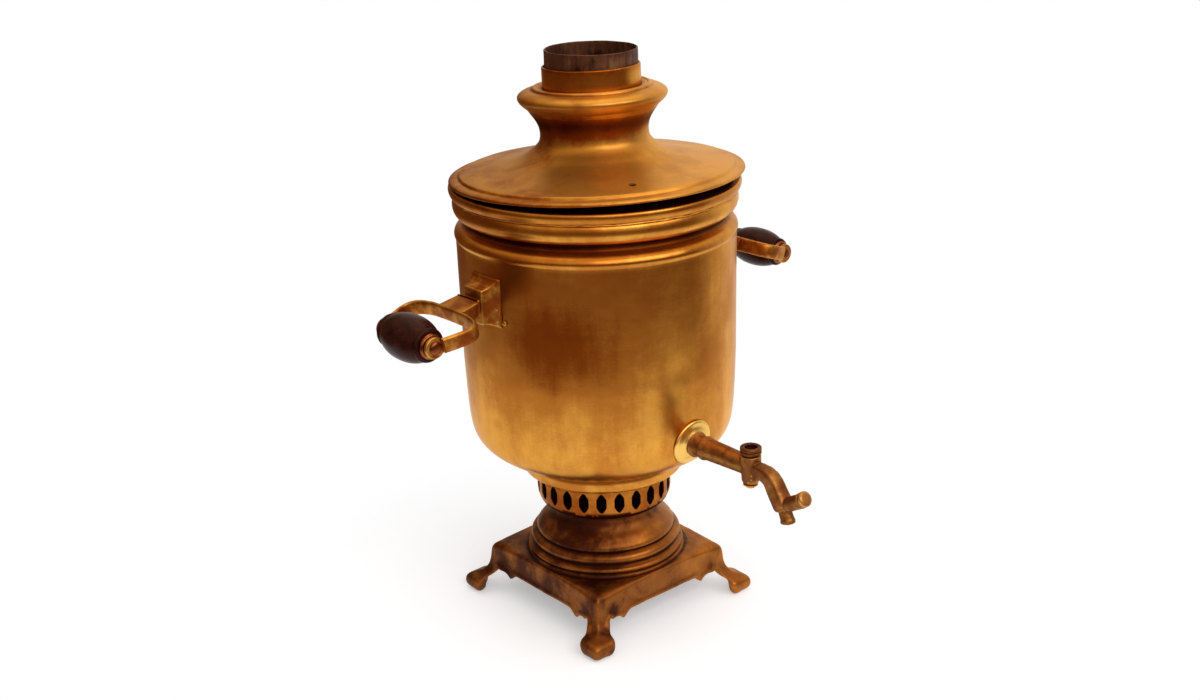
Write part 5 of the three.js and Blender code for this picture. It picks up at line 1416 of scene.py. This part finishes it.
class SAMOVAR_OT_handles(bpy.types.Operator):
    """Two handles: wall bracket, horseshoe loop, rod, turned grip, ferrules and rivets"""
    bl_idname = "samovar.handles"
    bl_label = "Handles"

    def execute(self, context):
        for name in HANDLES:
            self.build_bracket(name)
            self.build_loop(context, name)
            self.build_grip(context, name)
        self.build_rivets(context)
        return {"FINISHED"}

    def build_bracket(self, name):
        """A flared block soldered to the wall, with the stem that takes the loop's arm."""
        spin = Matrix.Rotation(HANDLES[name]["half"], 4, "Z")
        levels = [(0.0, 16.3, 247.2, 283.9), (0.05, 15.7, 247.8, 283.2), (0.1, 15.3, 248.2, 282.8),
                  (0.18, 13.8, 249, 281.2), (0.34, 12.1, 250, 279.2), (0.55, 10.8, 250.8, 277.6),
                  (0.78, 10.1, 251.4, 276.8), (1.0, 9.8, 251.6, 276.4)]
        sections = []
        for share, half, bottom, top in levels:
            section = []
            corners = [(-half, bottom), (half, bottom), (half, top), (-half, top)]
            for (y0, z0), (y1, z1) in zip(corners, corners[1:] + corners[:1]):
                for k in range(6):
                    y, z = y0 + (y1 - y0) * k / 6, z0 + (z1 - z0) * k / 6
                    wall = math.sqrt((BODY_RADIUS + 0.35) ** 2 - y ** 2)
                    section.append(Vector((wall + share * (113.6 - wall), y, z)))
            sections.append(section)
        block = skin(sections)
        half = 8.2
        stem = slab([(-half, 258.6), (half, 258.6), (half, 269.6), (-half, 269.6)], (104, 112, 117.5), "yzx")
        soft = ("BEVEL", {"width": 0.7, "segments": 3, "limit_method": "ANGLE",
                          "angle_limit": math.radians(35)})
        mesh = cast([worked(block, soft), worked(stem, soft)], 0.45, 2)
        swollen(mesh, 0.16, 7, 21 + len(name))
        for corner in mesh.vertices:
            least = math.sqrt((body_radius(corner.co.z) + 0.3) ** 2 - corner.co.y ** 2)
            corner.co.x = max(corner.co.x, least)
        deep_places(mesh, [(lambda p: abs(math.hypot(p.x, p.y) - BODY_RADIUS), 1.2, 0.4)])
        add_piece(f"{name}_bracket_casting", mesh, "boiler", "handle",
                  [f"{name}_handle_bracket"], spin, sharp=60)

    def build_loop(self, context, name):
        """The flat arm, the strip and its two eyes, brazed into one."""
        shape = HANDLES[name]
        slope = shape["slope"]
        voxel = context.scene.samovar_shape.cast_voxel
        small = context.scene.samovar_shape.small_facets
        arm_end = (shape["reach"] - 117.6 + 6) / math.cos(slope)
        plan = [(35.4, -13.4), (38, -13.2), (arm_end, -11.8), (arm_end, 11.8), (38, 13.2), (35.4, 13.4)]
        parts = [loop_strip(), worked(slab(plan, (-5.6, 5.6)), ("BEVEL", {"width": 0.9, "segments": 3}))]
        side_on = Matrix.Rotation(math.pi / 2, 4, "X")
        for side in (-1, 1):
            low = -(EYE_INNER + EYE_THICKNESS) if side > 0 else EYE_INNER
            eye = turned([(0, low), (7.6, low, 0.7), (7.6, low + EYE_THICKNESS, 0.7),
                          (0, low + EYE_THICKNESS)],
                         facets=small)
            parts.append(moved(eye, side_on))
        mesh = cast(parts, voxel, 3)
        bore = moved(bar(3.1, -40, 40), side_on)
        room = moved(bar(17.5, -EYE_INNER, EYE_INNER, 64), side_on)
        mesh = cut_away(mesh, bore, room)
        for side in (-1, 1):
            start = side * (EYE_INNER + EYE_THICKNESS)
            spare = slab([(-5.2, -7.9), (5.2, -7.9), (5.2, 7.9), (-5.2, 7.9)], (start, side * 42), "xzy")
            mesh = cut_away(mesh, spare)
        mesh.transform(Matrix.Rotation(-slope, 4, "Y"))
        moved(mesh, Matrix.Diagonal((-1, 1, 1, 1)))
        face = 117.6 - shape["reach"] + SEAT_GAP
        for corner in mesh.vertices:
            corner.co.x = max(corner.co.x, face)
        swollen(mesh, 0.12, 8, 31 + len(name),
                lambda p: 1 if abs(p.y) < EYE_INNER - 1 and p.x > face + 1 else 0)
        add_piece(f"{name}_loop_brazing", mesh, "boiler", "handle", [f"{name}_handle_loop"],
                  handle_place(name), sharp=50)

    def build_grip(self, context, name):
        """The riveted rod, the turned grip and its two ferrules."""
        small = context.scene.samovar_shape.small_facets
        radius = HANDLES[name]["radius"]
        place = handle_place(name)
        side_on = Matrix.Rotation(-math.pi / 2, 4, "X")
        body = f"{name}_grip_body"
        start = EYE_INNER + EYE_THICKNESS + SEAT_GAP
        end = [(ROD_RADIUS, start), (4.6, start, 0.2), (4.55, start + 0.6, 0.5), (3.2, start + 1.4, 0.8),
               (0, start + 1.6)]
        rod = [(r, -z, *rest) for r, z, *rest in reversed(end)] + end
        add_piece(f"{name}_rod_turning", moved(turned(rod, facets=small, step=2), side_on), "boiler",
                  "coppery", [f"{name}_grip_rod"], place)
        barrel = [(0.62, 1), (0.69, 0.975), (0.725, 0.93), (0.7, 0.885), (0.655, 0.855), (0.7, 0.83),
                  (0.79, 0.72), (0.89, 0.55), (0.965, 0.33), (0.995, 0.14), (1, 0)]
        upper = [(a * radius, b * GRIP_HALF_LENGTH) for a, b in barrel]
        outer = smooth([*upper, *[(r, -z) for r, z in reversed(upper[:-1])]], 4)
        bore = ROD_RADIUS + SEAT_GAP
        outline = [(bore, GRIP_HALF_LENGTH, 0.2), (0.58 * radius, GRIP_HALF_LENGTH, 0), *outer,
                   (0.58 * radius, -GRIP_HALF_LENGTH, 0), (bore, -GRIP_HALF_LENGTH, 0.2)]
        crevices = [(0.655 * radius, 0.855 * GRIP_HALF_LENGTH * s, 0.8, 0.9) for s in (-1, 1)]
        add_piece(f"{name}_grip_turning", moved(turned(outline, crevices, facets=96, step=1.4), side_on),
                  body, "wood", [f"{name}_grip"], place)
        front = 1 if HANDLES[name]["half"] else -1
        for end_name, side in (("front", front), ("back", -front)):
            low = GRIP_HALF_LENGTH + SEAT_GAP
            high = low + FERRULE_LENGTH - SEAT_GAP
            cap = [(bore, low, 0.2), (8.8, low, 0.3), (9, low + 0.5, 0.3), (8.9, low + 1.5, 0.4),
                   (7.9, high, 0.6), (5.2, high - 0.25, 0.3), (bore, high, 0.2)]
            cap = [(r, side * z, reach) for r, z, reach in cap]
            mesh = moved(turned(cap, facets=small, step=1), side_on)
            add_piece(f"{name}_ferrule_{end_name}_turning", mesh, body, "coppery",
                      [f"{name}_ferrule_{end_name}"], place)

    def build_rivets(self, context):
        """The rivets at the brackets' lower corners, set out by a tree on marks round the wall."""
        small = context.scene.samovar_shape.small_facets
        start = BODY_RADIUS + 0.6
        head = [(0, start - 0.2), (2, start - 0.2), (2, start + 0.3, 0.2), (1.5, start + 0.95, 0.4),
                (0, start + 1.2)]
        azimuth = math.asin((BRACKET_HALF_WIDTH + 2.6) / BODY_RADIUS)
        one = moved(turned(head, facets=small // 2, step=2, reach=0.2),
                    Matrix.Translation((0, 0, BRACKET_BOTTOM + 4)) @ Matrix.Rotation(math.pi / 2, 4, "Y"))
        pair = joined(moved(one.copy(), Matrix.Rotation(azimuth, 4, "Z")),
                      moved(one, Matrix.Rotation(-azimuth, 4, "Z")))
        mesh = run_tree(repeating_tree, pair, count=2, phase=0.0, material=finish("dry"))
        names = [f"{name}_rivet_{end}" for name in HANDLES for end in ("front", "back")]
        add_piece("bracket_rivets", facing_out(mesh), "boiler", "dry", names)


class SAMOVAR_OT_stage(bpy.types.Operator):
    """White floor and background, two soft lamps, and the camera at the picture's angle"""
    bl_idname = "samovar.stage"
    bl_label = "Stage"

    def execute(self, context):
        scene = context.scene
        settings = scene.samovar_stage
        scene.view_settings.view_transform = "Standard"
        axis = Vector((0, AXIS_Y, 0))
        scene.camera = self.build_camera(settings, axis)
        self.build_floor(settings)
        self.build_room(scene, settings)
        for name, power, size, place in (
                ("key", settings.key, (2.0, 0.9), Vector((-0.1, -1.4, 1.25))),
                ("overhead", settings.overhead, (1.3, 1.3), Vector((0.1, 0.1, 1.6)))):
            lamp = bpy.data.lights.new(name, "AREA")
            lamp.shape = "RECTANGLE"
            lamp.size, lamp.size_y = size
            lamp.energy = power
            lamp.color = (1, 0.99, 0.97)
            spot = axis + place
            aim = axis + Vector((0, 0, 0.2)) - spot
            turn = aim.to_track_quat("-Z", "Y").to_matrix().to_4x4()
            put(name, lamp).matrix_world = Matrix.Translation(spot) @ turn
        return {"FINISHED"}

    def build_camera(self, settings, axis):
        """The camera, aimed at the body from the front left and leaned a little, as for the picture."""
        spot = axis + Vector((-0.68289, -0.80810, 0.58846))
        ahead = (axis + Vector((0, 0, 0.2015)) - spot).normalized()
        right = Vector((ahead.y, -ahead.x, 0)).normalized()
        up = right.cross(ahead)
        lean, rise = math.cos(settings.roll), math.sin(settings.roll)
        basis = Matrix((right * lean + up * rise, up * lean - right * rise, -ahead)).transposed().to_4x4()
        data = bpy.data.cameras.new("camera")
        data.lens = settings.lens / MM
        data.sensor_width = 36
        camera = put("camera", data)
        camera.matrix_world = Matrix.Translation(spot) @ basis
        return camera

    def mirrored_room(self, tree, facing, settings):
        """What the metal mirrors in a direction: white to the right, light above and ahead, else dim."""
        aim = steer(tree, "NORMALIZE", steer(tree, "MULTIPLY", facing, (1, 1, 0)))
        rise = add_node(tree, "ShaderNodeSeparateXYZ", {0: facing}).outputs["Z"]
        white = eased(tree, steer(tree, "DOT_PRODUCT", aim, (0.966, 0.259, 0)), 0.4, 0.97)
        ahead = eased(tree, steer(tree, "DOT_PRODUCT", aim, (-0.645, -0.764, 0)), 0, 0.8)
        window = reckon(tree, "MULTIPLY", ahead, eased(tree, rise, 0.04, 0.45))
        above = reckon(tree, "MAXIMUM", eased(tree, rise, 0.3, 0.85), window)
        walls = blend(tree, white, (*settings.gloom, 1), WHITE)
        return blend(tree, above, walls, (*settings.ceiling, 1))

    def seen_or_mirrored(self, tree):
        """Whether the camera sees a place, and whether a glossy face mirrors it."""
        path = add_node(tree, "ShaderNodeLightPath").outputs
        return reckon(tree, "MAXIMUM", path["Is Camera Ray"],
                      path["Is Transmission Ray"]), path["Is Glossy Ray"]

    def build_floor(self, settings):
        """A white floor that keeps the shadow near the object and melts into the background far from it."""
        work = bmesh.new()
        rings = [[work.verts.new((r * math.cos(FULL_TURN * k / FLOOR_FACETS),
                                  AXIS_Y + r * math.sin(FULL_TURN * k / FLOOR_FACETS), 0))
                  for k in range(FLOOR_FACETS)] for r in FLOOR_RADII]
        work.faces.new(rings[0])
        for near, far in zip(rings, rings[1:]):
            for k in range(FLOOR_FACETS):
                after = (k + 1) % FLOOR_FACETS
                work.faces.new([near[k], far[k], far[after], near[after]])
        bmesh.ops.recalc_face_normals(work, faces=work.faces)
        mesh = made_of(work, "floor")
        if mesh.polygons[0].normal.z < 0:
            mesh.flip_normals()
        made = bpy.data.materials.new("white_paper_floor")
        tree = empty_tree(made)
        place = from_axis(tree)
        # The shadow lies to the left of the picture, so the white closes in sooner on the right
        away = steer(tree, "DISTANCE", place, (-0.034, 0.029, 0))
        seen, mirrored = self.seen_or_mirrored(tree)
        shares = [reckon(tree, "MULTIPLY", eased(tree, away, near, far), ray)
                  for near, far, ray in ((0.1, 0.3, seen), (0.42, 0.85, mirrored))]
        paper = add_node(tree, "ShaderNodeBsdfDiffuse", {"Color": (0.82, 0.824, 0.836, 1)})
        lift = reckon(tree, "MULTIPLY", reckon(tree, "MAXIMUM", seen, mirrored), 0.325)
        glow = add_node(tree, "ShaderNodeEmission", {"Color": WHITE, "Strength": lift})
        near = add_node(tree, "ShaderNodeAddShader", {0: paper.outputs[0], 1: glow.outputs[0]})
        tone = blend(tree, seen, self.mirrored_room(tree, place, settings), WHITE)
        distant = add_node(tree, "ShaderNodeEmission", {"Color": tone, "Strength": 1})
        either = add_node(tree, "ShaderNodeMixShader", {0: reckon(tree, "MAXIMUM", *shares),
                                                        1: near.outputs[0], 2: distant.outputs[0]})
        add_node(tree, "ShaderNodeOutputMaterial", {"Surface": either.outputs[0]})
        mesh.materials.append(made)
        put("floor", mesh)

    def build_room(self, scene, settings):
        """Even light from all round, a white background, and the room that the metal mirrors."""
        scene.world = bpy.data.worlds.new("studio")
        tree = empty_tree(scene.world)
        seen, mirrored = self.seen_or_mirrored(tree)
        place = add_node(tree, "ShaderNodeTexCoord").outputs["Object"]
        room = self.mirrored_room(tree, place, settings)
        lit = blend(tree, mirrored, (settings.sky, settings.sky, settings.sky, 1), room)
        back = add_node(tree, "ShaderNodeBackground", {"Color": blend(tree, seen, lit, WHITE)})
        add_node(tree, "ShaderNodeOutputWorld", {"Surface": back.outputs[0]})


class SAMOVAR_PT_panel(bpy.types.Panel):
    """The samovar's pieces and settings"""
    bl_label = "Samovar"
    bl_idname = "SAMOVAR_PT_panel"
    bl_space_type = "VIEW_3D"
    bl_region_type = "UI"
    bl_category = "Samovar"

    def draw(self, context):
        layout = self.layout
        for maker in OPERATORS:
            layout.operator(maker.bl_idname)
        for group in (context.scene.samovar_shape, context.scene.samovar_finish, context.scene.samovar_stage):
            box = layout.box()
            for name in group.__annotations__:
                box.prop(group, name)


OPERATORS = (SAMOVAR_OT_stage, SAMOVAR_OT_base, SAMOVAR_OT_pedestal, SAMOVAR_OT_blower, SAMOVAR_OT_body,
             SAMOVAR_OT_fire_tube, SAMOVAR_OT_lid, SAMOVAR_OT_tap, SAMOVAR_OT_key, SAMOVAR_OT_handles)
CLASSES = (SamovarShape, SamovarFinish, SamovarStage, *OPERATORS, SAMOVAR_PT_panel)


def register():
    """Adds the classes and the scene's settings."""
    for known in CLASSES:
        bpy.utils.register_class(known)
    bpy.types.Scene.samovar_shape = bpy.props.PointerProperty(type=SamovarShape)
    bpy.types.Scene.samovar_finish = bpy.props.PointerProperty(type=SamovarFinish)
    bpy.types.Scene.samovar_stage = bpy.props.PointerProperty(type=SamovarStage)


def unregister():
    """Takes the settings and the classes away again."""
    del bpy.types.Scene.samovar_stage
    del bpy.types.Scene.samovar_finish
    del bpy.types.Scene.samovar_shape
    for known in reversed(CLASSES):
        bpy.utils.unregister_class(known)


def main():
    """Makes every piece."""
    register()
    bpy.ops.samovar.stage()
    bpy.ops.samovar.base()
    bpy.ops.samovar.pedestal()
    bpy.ops.samovar.blower()
    bpy.ops.samovar.body()
    bpy.ops.samovar.fire_tube()
    bpy.ops.samovar.lid()
    bpy.ops.samovar.tap()
    bpy.ops.samovar.key()
    bpy.ops.samovar.handles()


if __name__ == "__main__":
    main()
